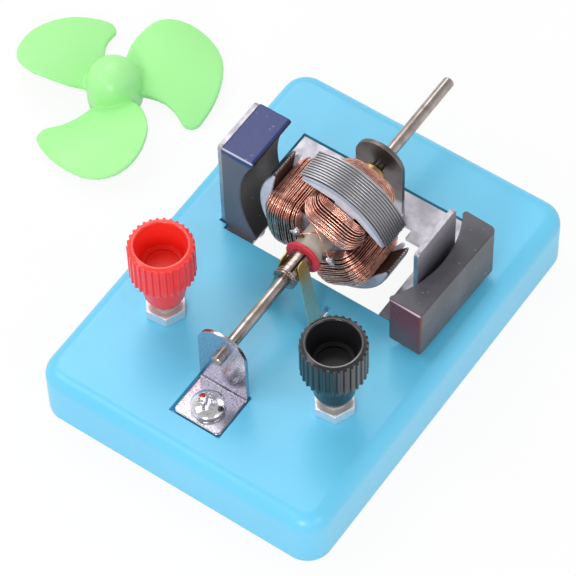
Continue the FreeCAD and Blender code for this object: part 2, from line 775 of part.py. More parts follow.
# ---------------------------------------------------------------- armature
def make_shaft():
    """Steel rod, chamfered at both ends, with a narrow groove just behind the rear bearing tab."""
    body = new_body("rotor_shaft", y="shaft_back", z="shaft_height", turn=SHAFT_FRAME)
    length = "(shaft_back - shaft_front)"
    groove_front = "(shaft_back - tab_back - stop_groove_gap)"
    groove_back = groove_front + " - stop_groove_width"
    turned(body, "shaft_rod",
           [("0", "0"), ("shaft_radius - shaft_chamfer", "0"), ("shaft_radius", "shaft_chamfer"),
            ("shaft_radius", groove_back), ("stop_groove_radius", groove_back),
            ("stop_groove_radius", groove_front), ("shaft_radius", groove_front),
            ("shaft_radius", length + " - shaft_chamfer"),
            ("shaft_radius - shaft_chamfer", length), ("0", length)])
    return body


def make_pole_plate(label, back, thickness, rim, half_angle, tip):
    """Three-pole plate: a hub and three necks that widen into shoes under the rim."""
    body = rotor_body(label, back)
    hub = new_sketch(body, label + "_hub_outline")
    draw_circle(hub, "0", "0", "core_hub_radius")
    draw_circle(hub, "0", "0", "seat_radius")
    pad(body, label + "_hub", hub, thickness)
    pole = new_sketch(body, label + "_pole_outline")
    root = "(core_hub_radius - pole_overlap)"
    across = " * sin(%s * 1deg)" % half_angle
    up = " * cos(%s * 1deg)" % half_angle
    under = "(%s - %s)" % (rim, tip)
    draw(pole, [("-neck_half", root), ("neck_half", root), ("neck_half", "neck_top"),
                (under + across, under + up), (rim + across, rim + up),
                ("-" + rim + across, rim + up), ("-" + under + across, under + up),
                ("-neck_half", "neck_top")],
         {4: (rim, 1)})
    arm = pad(body, label + "_pole", pole, thickness)
    around(body, label + "_poles", [arm], "3")
    return body


def make_core():
    """Stack of stampings; a fine V groove round the rim marks each joint between two of them."""
    body = make_pole_plate("armature_core", "core_back", "core_length", "core_radius",
                           "shoe_half_angle", "shoe_tip")
    low = "(lamination - lamination_gap / 2)"
    high = "(lamination + lamination_gap / 2)"
    inner = "(core_radius - rim_groove_depth)"
    outer = "(core_radius + rim_groove_depth)"
    groove = cut_ring(body, "rim_groove", [(inner, "lamination"), (outer, low), (outer, high)])
    along(body, "rim_grooves", [groove], "Z_Axis", "lamination", "lamination_count - 1")
    return body


TURNS = 12


def make_coil(label, turn):
    """Winding swept round a pole's neck, each turn a ridge of the barrel-shaped section."""
    body = rotor_body(label, "core_back", turn)
    low = "(-end_plate - coil_gap)"
    high = "(core_length + end_plate + coil_gap)"
    side = "(neck_half + coil_gap)"
    path = new_sketch(body, label + "_path", "XZ_Plane")
    draw(path, [(side, "core_length / 2"), (side, high + " - coil_corner"),
                (side + " - coil_corner", high), ("coil_corner - " + side, high),
                ("-" + side, high + " - coil_corner"), ("-" + side, low + " + coil_corner"),
                ("coil_corner - " + side, low), (side + " - coil_corner", low),
                (side, low + " + coil_corner")],
         {1: ("coil_corner", 1), 3: ("coil_corner", 1), 5: ("coil_corner", 1),
          7: ("coil_corner", 1)})
    section = new_sketch(body, label + "_section", lift="core_length / 2")
    corners = [(side, "coil_inner"), (side, "coil_outer")]
    for step in range(2 * TURNS, -1, -1):
        across = step / TURNS - 1
        depth = "coil_depth * (1 - coil_taper * %.5f)" % (across * across)
        if step % 2 == 0:
            depth += " - turn_groove"
        height = "coil_inner + (coil_outer - coil_inner) * %.5f" % (step / TURNS / 2)
        corners.append((side + " + " + depth, height))
    draw(section, corners)
    sweep = body.newObject("PartDesign::AdditivePipe", label + "_winding")
    sweep.Profile = section
    sweep.Spine = (path, ["Edge%d" % (index + 1) for index in range(9)])
    sweep.Transition = "Transformed"
    document.recompute()
    return body


def make_collar(label, back, front, radius, bore="seat_radius", turn="rotor_turn"):
    """Plain ring on the shaft from one place along Y to a lower one."""
    body = rotor_body(label, back, turn)
    length = "(%s - (%s))" % (back, front)
    turned(body, label + "_ring", [(bore, "0"), (radius, "0"), (radius, length), (bore, length)])
    return body


def make_commutator():
    """Insulating drum, three copper segments, front collar, rear washer, sleeves and tags."""
    bodies = [make_collar("commutator_drum", "drum_back", "drum_front + face_play", "drum_radius")]
    inner = "(drum_radius + seat_play)"
    for index, word in enumerate(("one", "two", "three")):
        turn = "rotor_turn + 60 + %d * pole_turn" % index
        body = rotor_body("commutator_segment_" + word, "drum_back", turn)
        face = new_sketch(body, "segment_face_" + word)
        across = "sin(segment_half_angle * 1deg)"
        up = "cos(segment_half_angle * 1deg)"
        draw(face, [(inner + " * " + across, inner + " * " + up),
                    ("segment_radius * " + across, "segment_radius * " + up),
                    ("-segment_radius * " + across, "segment_radius * " + up),
                    ("-" + inner + " * " + across, inner + " * " + up)],
             {1: ("segment_radius", 1), 3: (inner, -1)})
        pad(body, "segment_" + word, face, "drum_back - drum_front - face_play")
        bodies.append(body)
        tag = rotor_body("solder_tag_" + word, "tag_back", turn)
        plan = new_sketch(tag, "tag_face_" + word)
        draw_box(plan, "-tag_width / 2", "tag_width / 2", "sleeve_radius + seat_play", "tag_reach")
        plate = pad(tag, "tag_plate_" + word, plan, "tag_thickness")
        rounded(tag, "tag_end_" + word, plate,
                lambda edge: runs(edge, "Z") and lies_at(edge, "Y", "tag_reach"),
                "tag_width / 2 - face_play")
        bodies.append(tag)
    collar = make_collar("commutator_collar", "drum_front", "drum_front - collar_length",
                         "collar_radius")
    middle = "(collar_length / 2)"
    cut_ring(collar, "collar_groove_cut",
             [("collar_radius", middle + " - collar_groove / 2"),
              ("collar_radius + collar_groove", middle + " - collar_groove / 2"),
              ("collar_radius + collar_groove", middle + " + collar_groove / 2"),
              ("collar_radius", middle + " + collar_groove / 2"),
              ("collar_radius - collar_groove", middle)])
    bodies.append(collar)
    bodies.append(make_collar("commutator_washer", "washer_back", "washer_front",
                              "washer_radius"))
    bodies.append(make_collar("front_sleeve", "core_front - end_plate - face_play",
                              "washer_back + face_play", "sleeve_radius"))
    bodies.append(make_collar("rear_sleeve", "rear_sleeve_end",
                              "core_back + end_plate + face_play", "sleeve_radius"))
    bodies.append(make_collar("rear_collar", "rear_collar_end", "rear_sleeve_end + face_play",
                              "rear_collar_radius"))
    bodies.append(make_collar("thrust_washer",
                              "rear_collar_end + face_play + thrust_washer_thickness",
                              "rear_collar_end + face_play", "thrust_washer_radius"))
    return bodies


# ---------------------------------------------------------------- brushes and terminals
def make_brush(word, sign):
    """Springy strip: foot under the deck, up through the slot, leaning on the commutator."""
    label = "brush_" + word
    body = new_body(label)
    root = word + "_brush_foot"
    side = new_sketch(body, label + "_side", "XZ_Plane", lift="-brush_tip_back")
    tip = "(%s - (brush_top - base_height) * %s_brush_lean)" % (root, word)
    foot = "(%s + brush_foot_length)" % root
    draw(side, [(sign + tip, "brush_top"),
                (sign + root, "base_height"),
                (sign + root, "brush_foot_top - brush_sheet"),
                (sign + foot, "brush_foot_top - brush_sheet"),
                (sign + foot, "brush_foot_top"),
                (sign + "(%s + brush_sheet)" % root, "brush_foot_top"),
                (sign + "(%s + brush_sheet)" % root, "base_height"),
                (sign + "(%s + brush_sheet)" % tip, "brush_top")])
    pad(body, label + "_strip", side, "brush_tip_back - brush_front")
    low = "(brush_foot_top - brush_sheet)"
    shoulder = "brush_top - brush_tip_round"
    face = new_sketch(body, label + "_face", "YZ_Plane")
    draw_box(face, "brush_front - brush_tip_round", "brush_tip_back + brush_tip_round",
             low + " - brush_tip_round", "brush_top + brush_tip_round")
    draw(face, [("brush_front", low), ("brush_back", low), ("brush_back", "base_height"),
                ("brush_tip_back", shoulder), ("brush_tip_back - brush_tip_round", "brush_top"),
                ("brush_tip_front + brush_tip_round", "brush_top"), ("brush_tip_front", shoulder),
                ("brush_front", "base_height")],
         {3: ("brush_tip_round", 1), 5: ("brush_tip_round", 1)})
    pocket(body, label + "_taper", face)
    return body


def make_link(word, sign):
    """Flat strip under the deck from the brush's foot to the terminal stud."""
    label = "link_strip_" + word
    body = new_body(label)
    plan = new_sketch(body, label + "_plan", lift="link_bottom")
    start = "(%s_brush_foot + slot_width / 2 + brush_sheet)" % word
    inner = "(terminal_x - link_width / 2)"
    outer = "(terminal_x + link_width / 2)"
    draw(plan, [(sign + start, "brush_front"), (sign + inner, "brush_front"),
                (sign + inner, "terminal_y"), (sign + outer, "terminal_y"),
                (sign + outer, "brush_back"), (sign + start, "brush_back")])
    pad(body, label + "_strip", plan, "link_sheet")
    eye = new_sketch(body, label + "_eye_plan", lift="link_bottom")
    draw_circle(eye, sign + "terminal_x", "terminal_y", "link_eye_radius")
    pad(body, label + "_eye", eye, "link_sheet")
    hole = new_sketch(body, label + "_hole_plan", lift="link_bottom")
    draw_circle(hole, sign + "terminal_x", "terminal_y", "stud_radius + 2 * thread_play")
    pocket(body, label + "_hole", hole, "link_sheet", upwards=True)
    return body


def make_nut(label, x, bottom, flats, height, turn):
    """Hexagon nut on a stud with its top corners turned off."""
    body = new_body(label, x, "terminal_y", bottom, SPIN % turn)
    outline = new_sketch(body, label + "_outline")
    corner = "(%s / sqrt(3))" % flats
    half = "(%s / 2)" % flats
    draw(outline, [("0", corner), ("-" + half, corner + " / 2"), ("-" + half, "-%s / 2" % corner),
                   ("0", "-" + corner), (half, "-%s / 2" % corner), (half, corner + " / 2")])
    draw_circle(outline, "0", "0", "stud_radius + thread_play")
    pad(body, label + "_blank", outline, height)
    cut_ring(body, label + "_chamfer",
             [("%s - nut_chamfer / 4" % half, height), ("%s + nut_chamfer" % corner, height),
              ("%s + nut_chamfer" % corner, "%s - nut_chamfer_fall" % height)])
    return body


def make_terminal(colour, sign):
    """One binding post: stud, nuts, washer, brass bush and the ribbed cap around it."""
    x = sign + "terminal_x"
    stud = new_body(colour + "_stud", x, "terminal_y")
    turned(stud, colour + "_rod",
           [("0", "stud_bottom"), ("stud_radius - stud_chamfer", "stud_bottom"),
            ("stud_radius", "stud_bottom + stud_chamfer"),
            ("stud_radius", "stud_top - stud_chamfer"),
            ("stud_radius - stud_chamfer", "stud_top"), ("0", "stud_top")])
    top_nut = make_nut(colour + "_top_nut", x, "base_height + face_play", "top_nut_flats",
                       "top_nut_height", "top_nut_turn")
    washer = new_body(colour + "_lock_washer", x, "terminal_y")
    turned(washer, colour + "_washer_ring",
           [("stud_radius + 2 * thread_play", "washer_under"), ("lock_washer_radius", "washer_under"),
            ("lock_washer_radius", "washer_under + lock_washer_thickness"),
            ("stud_radius + 2 * thread_play", "washer_under + lock_washer_thickness")])
    lock_nut = make_nut(colour + "_lock_nut", x, "washer_under - face_play - lock_nut_height",
                        "lock_nut_flats", "lock_nut_height", "lock_nut_turn")
    bush = new_body(colour + "_cap_bush", x, "terminal_y", "bush_bottom")
    bore = "(stud_radius + thread_play)"
    turned(bush, colour + "_bush_ring",
           [(bore, "0"), ("bush_radius - nut_chamfer / 2", "0"), ("bush_radius", "nut_chamfer / 2"),
            ("bush_radius", "bush_length"), (bore, "bush_length")])
    cap = new_body(colour + "_cap", x, "terminal_y")
    room = "(bush_radius + thread_play)"
    roof = "(bush_bottom + bush_length + face_play)"
    ledge = "(cap_rib_bottom - cap_lip_height)"
    turned(cap, colour + "_cap_shell",
           [(room, "cap_bottom"), ("cap_cone_bottom_radius", "cap_bottom"),
            ("cap_cone_top_radius", ledge), ("cap_core_radius", "cap_rib_bottom"),
            ("cap_core_radius", "cap_top - cap_lip_height"), ("cap_lip_radius", "cap_top"),
            ("cup_mouth_radius + cap_lip_height / 2", "cap_top"),
            ("cup_mouth_radius", "cap_top - cap_lip_height / 2"),
            ("cup_floor_radius", "cup_floor"), ("cup_well_radius", "cup_floor"),
            ("cup_well_radius", "cup_floor - cup_well_depth"),
            ("0", "cup_floor - cup_well_depth"), ("0", roof), (room, roof)])
    ribs = new_sketch(cap, colour + "_rib_plan", lift="cap_rib_bottom")
    foot = "(cap_core_radius - cap_rib_height / 2)"
    crest = "(cap_core_radius + cap_rib_height)"
    draw(ribs, [(foot, "-cap_rib_width / 2"), (crest, "-cap_rib_crest / 2"),
                (crest, "cap_rib_crest / 2"), (foot, "cap_rib_width / 2")])
    rib = pad(cap, colour + "_rib", ribs, "cap_top - cap_lip_height - cap_rib_bottom")
    around(cap, colour + "_ribs", [rib], "cap_rib_count")
    return [stud, top_nut, washer, lock_nut, bush, cap]


# ---------------------------------------------------------------- fan
def make_fan_hub():
    """Domed hub, hollow under, with the bored boss that pushes on the shaft."""
    body = new_body("fan_hub", "fan_x", "fan_y")
    inner = "(fan_dome_radius - fan_wall)"
    turned(body, "fan_dome",
           [("fan_bore_radius", "0"), ("fan_boss_radius", "0"), ("fan_boss_radius", "fan_skirt"),
            (inner, "fan_skirt"), (inner, "0"), ("fan_dome_radius", "0"),
            ("fan_dome_radius", "fan_skirt"), ("0", "fan_skirt + fan_dome_radius"),
            ("0", "fan_bore_depth"), ("fan_bore_radius", "fan_bore_depth")],
           {6: ("fan_dome_radius", 1)})
    return body


# The blade's corners in order, each with the way its following side bends.
BLADE_CORNERS = (("lead_root", -1), ("lead_hollow", -1), ("lobe_start", 1), ("lobe_end", 1),
                 ("nose", 1), ("tail", 1), ("trail_bend", 1), ("trail_side", 0),
                 ("trail_root", 0))


def make_blade(word, turn):
    """Twisted blade: a lofted strip, trimmed to the blade's lobed outline."""
    body = new_body("blade_" + word, "fan_x", "fan_y", turn=SPIN % turn)
    stations = []
    for place, spot, level, slope in (
            ("root", "blade_root", "blade_root_level", "blade_root_slope"),
            ("middle", "blade_middle", "blade_middle_level", "blade_middle_slope"),
            ("tip", "blade_tip", "blade_tip_level", "blade_tip_slope")):
        strip = new_sketch(body, "blade_%s_%s" % (place, word), "YZ_Plane", lift=spot)
        near = "(%s - %s * blade_near)" % (level, slope)
        far = "(%s + %s * blade_far)" % (level, slope)
        draw(strip, [("-blade_near", near), ("blade_far", far),
                     ("blade_far", far + " + blade_thickness"),
                     ("-blade_near", near + " + blade_thickness")])
        stations.append(strip)
    loft = body.newObject("PartDesign::AdditiveLoft", "blade_strip_" + word)
    loft.Profile = stations[0]
    loft.Sections = stations[1:]
    document.recompute()
    trim = new_sketch(body, "blade_outline_" + word, lift="-blade_trim_reach")
    draw_box(trim, "-blade_trim_reach", "blade_trim_reach", "-blade_trim_reach", "blade_trim_reach")
    corners = [("blade_%s_x" % name, "blade_%s_y" % name) for name, _ in BLADE_CORNERS]
    arcs = {place: ("blade_%s_radius" % name, bend)
            for place, (name, bend) in enumerate(BLADE_CORNERS) if bend}
    draw(trim, corners, arcs)
    pocket(body, "blade_trim_" + word, trim, "blade_trim_reach * 2", upwards=True)
    return body


def make_fan():
    """Hub and three blades as one moulding."""
    pieces = [make_fan_hub()]
    for index, word in enumerate(("one", "two", "three")):
        pieces.append(make_blade(word, "fan_turn - %d * fan_turn_step" % index))
    fan = document.addObject("Part::MultiFuse", "fan")
    fan.Label = "fan"
    fan.Shapes = pieces
    fan.Refine = True
    document.recompute()
    return fan


# ---------------------------------------------------------------- the whole motor
def build():
    """Make every sub-part and return them."""
    fill_sheet()
    parts = [make_base(), make_yoke(), make_bracket()]
    parts.append(make_pan_screw("bracket_screw", "0", "bracket_screw_y", "foot_top + face_play",
                                SPIN % "20", "bracket_screw_head_radius",
                                "bracket_screw_head_height", "bracket_screw_radius",
                                "bracket_screw_length"))
    for word, sign in (("left", "-"), ("right", "")):
        under = "deck_under - yoke_boss_depth"
        parts.append(make_pan_screw(
            "yoke_screw_" + word, sign + "yoke_screw_x", "yoke_screw_y",
            under + " - face_play", "rotation(vector(1; 0; 0); 180)", "yoke_screw_head_radius",
            "yoke_screw_head_height", "yoke_screw_radius",
            "(plate_top - (%s) - 2 * face_play)" % under))
    parts.append(make_magnet("magnet_left", "magnet_play - arm_inner", "magnet_back",
                             "plate_top + magnet_play + magnet_length / 2", SHAFT_FRAME))
    arm_reach = "(loose_magnet_y - arm_front)"
    hollow = "(magnet_arc_radius - sqrt(magnet_arc_radius ^ 2 - (magnet_length / 2 - magnet_land) ^ 2))"
    shy = "(magnet_arc_radius - sqrt(magnet_arc_radius ^ 2 - %s ^ 2))" % arm_reach
    lean = "(%s * tan(-loose_magnet_turn * 1deg))" % arm_reach
    parts.append(make_magnet("magnet_right",
                             "arm_outer + %s + %s + loose_magnet_gap + magnet_thickness - %s"
                             % (shy, lean, hollow),
                             "loose_magnet_y", "base_height + magnet_play + loose_magnet_rise",
                             SPIN % "180 + loose_magnet_turn"))
    parts.append(make_shaft())
    parts.append(make_core())
    for label, back, rim in (
            ("end_plate_rear", "core_back + end_plate + face_play / 2", "rear_plate_radius"),
            ("end_plate_front", "core_front - face_play / 2", "front_plate_radius")):
        parts.append(make_pole_plate(label, back, "end_plate", rim, "plate_half_angle", "plate_tip"))
    for index, word in enumerate(("one", "two", "three")):
        parts.append(make_coil("coil_" + word, "rotor_turn + %d * pole_turn" % index))
    parts.extend(make_commutator())
    for word, sign in (("left", "-"), ("right", "")):
        parts.append(make_brush(word, sign))
        parts.append(make_link(word, sign))
    parts.extend(make_terminal("red", "-"))
    parts.extend(make_terminal("black", ""))
    parts.append(make_fan())
    return parts


def check(parts):
    """Stop if any object of the document failed or any sub-part has no sound solid."""
    document.recompute()
    faults = []
    for item in document.Objects:
        if "Invalid" in item.State or "Error" in item.State:
            faults.append("%s is %s" % (item.Label, ", ".join(item.State)))
    for part in parts:
        shape = part.Shape
        if shape.isNull() or not shape.isValid() or len(shape.Solids) != 1:
            faults.append("%s has no single sound solid" % part.Label)
    if faults:
        raise ValueError("; ".join(faults))


def write(parts):
    """Export each sub-part as STEP under its label."""
    os.makedirs("parts", exist_ok=True)
    for part in parts:
        part.Shape.exportStep("parts/%s.step" % part.Label)
        print("%-26s %9.1f mm3" % (part.Label, part.Shape.Volume))


motor_parts = build()
check(motor_parts)
write(motor_parts)
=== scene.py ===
"""Looks of the open demonstration motor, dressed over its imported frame.

Metres, in the frame of the part: +X right, +Y along the shaft to its free end, +Z up.
The ranges that masks are made with are in millimetres.
"""

import json
import math

import bpy
from mathutils import Matrix, Vector


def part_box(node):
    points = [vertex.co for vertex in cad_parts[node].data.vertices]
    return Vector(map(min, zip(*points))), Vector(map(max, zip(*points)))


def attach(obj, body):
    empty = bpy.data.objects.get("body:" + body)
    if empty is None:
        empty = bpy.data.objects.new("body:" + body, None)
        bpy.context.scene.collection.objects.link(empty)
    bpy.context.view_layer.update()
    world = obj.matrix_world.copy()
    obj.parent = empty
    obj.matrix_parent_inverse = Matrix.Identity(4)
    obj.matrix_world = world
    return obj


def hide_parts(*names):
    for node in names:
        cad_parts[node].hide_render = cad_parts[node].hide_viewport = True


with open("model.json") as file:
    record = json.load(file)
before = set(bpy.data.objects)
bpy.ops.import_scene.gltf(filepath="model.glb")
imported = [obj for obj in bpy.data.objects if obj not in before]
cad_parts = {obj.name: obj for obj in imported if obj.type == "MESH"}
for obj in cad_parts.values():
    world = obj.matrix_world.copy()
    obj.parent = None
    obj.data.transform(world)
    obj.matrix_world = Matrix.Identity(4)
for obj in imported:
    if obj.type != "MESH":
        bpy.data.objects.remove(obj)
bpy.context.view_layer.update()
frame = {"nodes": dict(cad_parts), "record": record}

MM = 0.001
MM_PER_METRE = 1000
MERGE = 0.002 * MM
WHITE = (1, 1, 1, 1)
RECORD = frame["record"]
BODY_OF = {node: body for body, nodes in RECORD["behaviour"]["bodies"].items() for node in nodes}
SLOT_OF = {row["node"]: row["material_slot"] for row in RECORD["subparts"]}

# ---------------------------------------------------------------- places taken from the frame
SHAFT_LOW, SHAFT_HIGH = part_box("rotor_shaft")
AXIS_Z = (SHAFT_LOW.z + SHAFT_HIGH.z) / 2
AXIS_POINT = Vector((0, 0, AXIS_Z))
CORE_LOW, CORE_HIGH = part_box("armature_core")
CORE_MIDDLE_Y = (CORE_LOW.y + CORE_HIGH.y) / 2
PLATE_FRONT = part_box("end_plate_front")[0].y
PLATE_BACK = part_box("end_plate_rear")[1].y
LEFT_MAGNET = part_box("magnet_left")
RIGHT_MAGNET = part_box("magnet_right")

# Degrees about the shaft, seen from the front: 0 is right and 90 is up.
UPRIGHT = 90
POLE_ANGLES = {"one": 66, "two": 186, "three": 306}
TAG_ANGLES = {"one": 126, "two": 246, "three": 6}


def middle(node):
    """Middle of a node's box."""
    low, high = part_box(node)
    return (low + high) / 2


def direction(azimuth, elevation):
    """Unit vector from the motor to a place round it, in degrees from the front and from level."""
    turn, lift = math.radians(azimuth), math.radians(elevation)
    return Vector((math.sin(turn) * math.cos(lift), -math.cos(turn) * math.cos(lift), math.sin(lift)))


def waver(count, waves):
    """A small number that changes from count to count, from the height, pace and start of sines."""
    return sum(height * math.sin(count * pace + start) for height, pace, start in waves)


# ---------------------------------------------------------------- camera
CAMERA_AZIMUTH = 36.33
CAMERA_ELEVATION = 55.90
CAMERA_ROLL = -1.95
CAMERA_TARGET = Vector((-9.97, 6.25, 0)) * MM
CAMERA_DISTANCE = 811.4 * MM


def make_camera():
    """Long lens from above and in front, rolled a little."""
    azimuth = math.radians(CAMERA_AZIMUTH)
    roll = math.radians(CAMERA_ROLL)
    back = direction(CAMERA_AZIMUTH, CAMERA_ELEVATION)
    level = Vector((math.cos(azimuth), math.sin(azimuth), 0))
    upright = back.cross(level)
    right = level * math.cos(roll) + upright * math.sin(roll)
    up = upright * math.cos(roll) - level * math.sin(roll)
    bpy.ops.object.camera_add()
    camera = bpy.context.object
    camera.name = "Camera"
    camera.matrix_world = Matrix.Translation(CAMERA_TARGET + back * CAMERA_DISTANCE) @ Matrix(
        (right, up, back)).transposed().to_4x4()
    camera.data.lens = 207.65
    camera.data.sensor_width = 36
    bpy.context.scene.camera = camera


make_camera()


# ---------------------------------------------------------------- tools for finishes
def tone(code):
    """A colour from its six-digit code, as the shader wants it."""
    channels = [int(code[place:place + 2], 16) / 255 for place in (0, 2, 4)]
    return tuple(c / 12.92 if c <= 0.04045 else ((c + 0.055) / 1.055) ** 2.4 for c in channels) + (1.0,)


class Amount:
    """A number inside a node tree. Sums written with it add Math nodes."""

    def __init__(self, nodes, socket):
        self.nodes = nodes
        self.socket = socket

    def calculate(self, operation, *items):
        """A Math node on some numbers."""
        return self.nodes.number("ShaderNodeMath", dict(enumerate(items)), operation=operation)

    def __add__(self, other):
        return self.calculate("ADD", self, other)

    __radd__ = __add__

    def __sub__(self, other):
        return self.calculate("SUBTRACT", self, other)

    def __rsub__(self, other):
        return self.calculate("SUBTRACT", other, self)

    def __mul__(self, other):
        return self.calculate("MULTIPLY", self, other)

    def maximum(self, other):
        """The larger of this number and another."""
        return self.calculate("MAXIMUM", self, other)

    def hypot(self, other):
        """The long side of a right triangle whose short sides are this number and another."""
        return self.calculate("SQRT", self * self + other * other)

    def step(self, low, high):
        """Goes smoothly from 0 to 1 between two values."""
        return self.nodes.number("ShaderNodeMapRange", {0: self, 1: low, 2: high},
                                 interpolation_type="SMOOTHSTEP")


class Nodes:
    """A node tree that is built in code."""

    def __init__(self, tree):
        self.tree = tree

    def node(self, kind, inputs=None, **settings):
        """Add a node: its settings first, then values or links for its sockets."""
        node = self.tree.nodes.new(kind)
        for name, setting in settings.items():
            setattr(node, name, setting)
        for place, item in (inputs or {}).items():
            self.feed(node.inputs[place], item)
        return node

    def feed(self, socket, item):
        """Link one socket, or set it to a value or to the colour of a six-digit code."""
        if isinstance(item, Amount):
            item = item.socket
        if isinstance(item, bpy.types.NodeSocket):
            self.tree.links.new(item, socket)
        else:
            socket.default_value = tone(item) if isinstance(item, str) else item

    def number(self, kind, inputs=None, output=0, **settings):
        """Add a node and give one of its outputs as a number."""
        return Amount(self, self.node(kind, inputs, **settings).outputs[output])

    def seen(self):
        """1 for what is seen, straight, mirrored or through glass, and 0 for what only lights."""
        path = self.node("ShaderNodeLightPath")
        seen = Amount(self, path.outputs["Is Camera Ray"])
        for ray in ("Is Glossy Ray", "Is Transmission Ray"):
            seen = seen.maximum(path.outputs[ray])
        return seen


class Finish(Nodes):
    """A material around one principled shader."""

    def __init__(self, name):
        self.material = bpy.data.materials.new(name)
        self.material.use_nodes = True
        super().__init__(self.material.node_tree)
        self.shader = self.tree.nodes["Principled BSDF"]

    def place(self, stretch=(1, 1, 1)):
        """Object coordinates, stretched."""
        coordinates = self.node("ShaderNodeTexCoord").outputs["Object"]
        return self.node("ShaderNodeMapping", {"Vector": coordinates, "Scale": stretch}).outputs[0]

    def along(self, axis):
        """Object coordinate along X, Y or Z, in millimetres."""
        split = self.node("ShaderNodeSeparateXYZ",
                          {0: self.node("ShaderNodeTexCoord").outputs["Object"]})
        return Amount(self, split.outputs["XYZ".index(axis)]) * MM_PER_METRE

    def from_axis(self):
        """Distance from the shaft's axis, in millimetres."""
        return self.along("X").hypot(self.along("Z") - AXIS_Z / MM)

    def noise(self, per_mm, detail=3.0, stretch=(1, 1, 1)):
        """Noise with so many waves a millimetre, drawn out along the axes with a small stretch."""
        return self.number("ShaderNodeTexNoise", {
            "Vector": self.place(stretch), "Scale": per_mm * MM_PER_METRE, "Detail": detail})

    def mix(self, mask, low, high):
        """A colour from low to high by a mask."""
        return self.node("ShaderNodeMix", {0: mask, 6: low, 7: high}, data_type="RGBA").outputs[2]

    def layers(self, colour, *coats):
        """A colour with others laid over it in turn, each by its mask."""
        for mask, coat in coats:
            colour = self.mix(mask, colour, coat)
        return colour

    def edge(self, radius):
        """Normal of the surface with its edges rounded."""
        return self.node("ShaderNodeBevel", {"Radius": radius}, samples=6).outputs[0]

    def edge_mask(self, radius):
        """1 where an edge is near."""
        normal = self.node("ShaderNodeNewGeometry").outputs["Normal"]
        likeness = self.number("ShaderNodeVectorMath", {0: normal, 1: self.edge(radius)}, output=1,
                               operation="DOT_PRODUCT")
        return (1 - likeness).step(0.02, 0.25)

    def bump(self, height, strength, depth, normal=None):
        """Normal from a height; depth is in metres."""
        inputs = {"Height": height, "Strength": strength, "Distance": depth}
        if normal is not None:
            inputs["Normal"] = normal
        return self.node("ShaderNodeBump", inputs).outputs[0]

    def show(self, **values):
        """Set or link the shader's sockets by name."""
        for name, item in values.items():
            self.feed(self.shader.inputs[name.replace("_", " ").title().replace("Ior", "IOR")], item)
        return self.material


# ---------------------------------------------------------------- plastic, paint, fibre and paper
def moulded(name, code, shade_code, roughness, coat=0.0, dirt=0.0, shine=0.5):
    """Moulded plastic: a faint drift of colour, fine grain, a soft gloss and, where asked, dirt."""
    finish = Finish(name)
    drift = finish.noise(0.03, detail=2).step(0.35, 0.65)
    grain = finish.noise(3.0, detail=2)
    colour = finish.mix(drift * 0.5, code, shade_code)
    if dirt:
        smears = finish.noise(0.9, detail=5).step(0.6, 0.8)
        colour = finish.mix(smears * dirt, colour, "7C8C94")
    return finish.show(
        base_color=colour, roughness=roughness + (finish.noise(0.6) - 0.5) * 0.12,
        coat_weight=coat, coat_roughness=0.2, specular_ior_level=shine,
        normal=finish.bump(grain, 0.25, 0.02 * MM, finish.edge(0.1 * MM)))


# A cap's cup and the lip round it: radii about the cap's axis, and heights.
CUP_RADIUS = (6.1, 6.4)
CUP_FLOOR = (33.0, 34.5)
CUP_SHADE = (35.5, 41.0)
LIP_INNER = (6.05, 6.25)
LIP_OUTER = (6.45, 6.7)
LIP_HEIGHT = (41.5, 42.5)
# A painted highlight lies on the lip from this far before the axis, on the side that the camera sees.
LIP_FRONT = (1.5, 5.0)
FRONT_X, FRONT_Y = 0.59, -0.81


def cap_plastic(name, node, code, deep_code, lip_highlight_code, roughness, floor_roughness):
    """Cap moulding: glossy outside, matt down its cup with painted shade deepening the colour, and a
    painted highlight on the lip's front.
    """
    finish = Finish(name)
    axis = middle(node)
    across = finish.along("X") - axis.x / MM
    back = finish.along("Y") - axis.y / MM
    reach = across.hypot(back)
    inside = (1 - reach.step(*CUP_RADIUS)) * finish.along("Z").step(*CUP_FLOOR)
    # Painted shade: the cup's colour deepens towards its floor.
    down = inside * (1 - finish.along("Z").step(*CUP_SHADE))
    # Painted highlight on the front of the lip.
    lip = reach.step(*LIP_INNER) * (1 - reach.step(*LIP_OUTER)) * finish.along("Z").step(*LIP_HEIGHT)
    lip = lip * (across * FRONT_X + back * FRONT_Y).step(*LIP_FRONT)
    drift = finish.noise(0.25, detail=3)
    unevenness = finish.noise(0.8, detail=4)
    return finish.show(
        base_color=finish.layers(code, (drift.step(0.4, 0.7) * 0.3, deep_code), (lip * 0.7, lip_highlight_code),
                                 (down * 0.9, deep_code)),
        roughness=roughness + inside * (floor_roughness - roughness) + (drift - 0.5) * 0.1,
        coat_weight=0.3 - inside * 0.25, coat_roughness=0.1,
        normal=finish.bump(unevenness, 0.3, 0.05 * MM, finish.edge(0.18 * MM)))


# Radii about the shaft between which the end plates' faces turn into their rims.
PLATE_RIM = (17.8, 18.3)


def powder_coat():
    """Insulating coat on the end plates: glossy lavender white, with painted shade and a painted
    reflection greying the rim.
    """
    finish = Finish("powder_coat")
    swell = finish.noise(0.45, detail=3)
    rim = finish.from_axis().step(*PLATE_RIM)
    face = finish.mix(swell.step(0.3, 0.7), "DEDFEB", "CDD0E0")
    # The rim's grey is painted shade and a painted reflection of the surroundings.
    return finish.show(
        base_color=finish.mix(rim * 0.75, face, "7F8B9C"),
        roughness=0.26 + (finish.noise(1.5) - 0.5) * 0.1, coat_weight=0.45, coat_roughness=0.08,
        normal=finish.bump(swell, 0.35, 0.12 * MM, finish.edge(0.3 * MM)))


def red_fibre():
    """Pressed fibre: saturated red with a matt, speckled face."""
    finish = Finish("red_fibre")
    speck = finish.noise(3.0, detail=4)
    return finish.show(base_color=finish.mix(speck.step(0.4, 0.75), "DE3B4C", "B4263A"),
                       roughness=0.5 + (speck - 0.5) * 0.3,
                       normal=finish.bump(speck, 0.4, 0.05 * MM, finish.edge(0.2 * MM)))


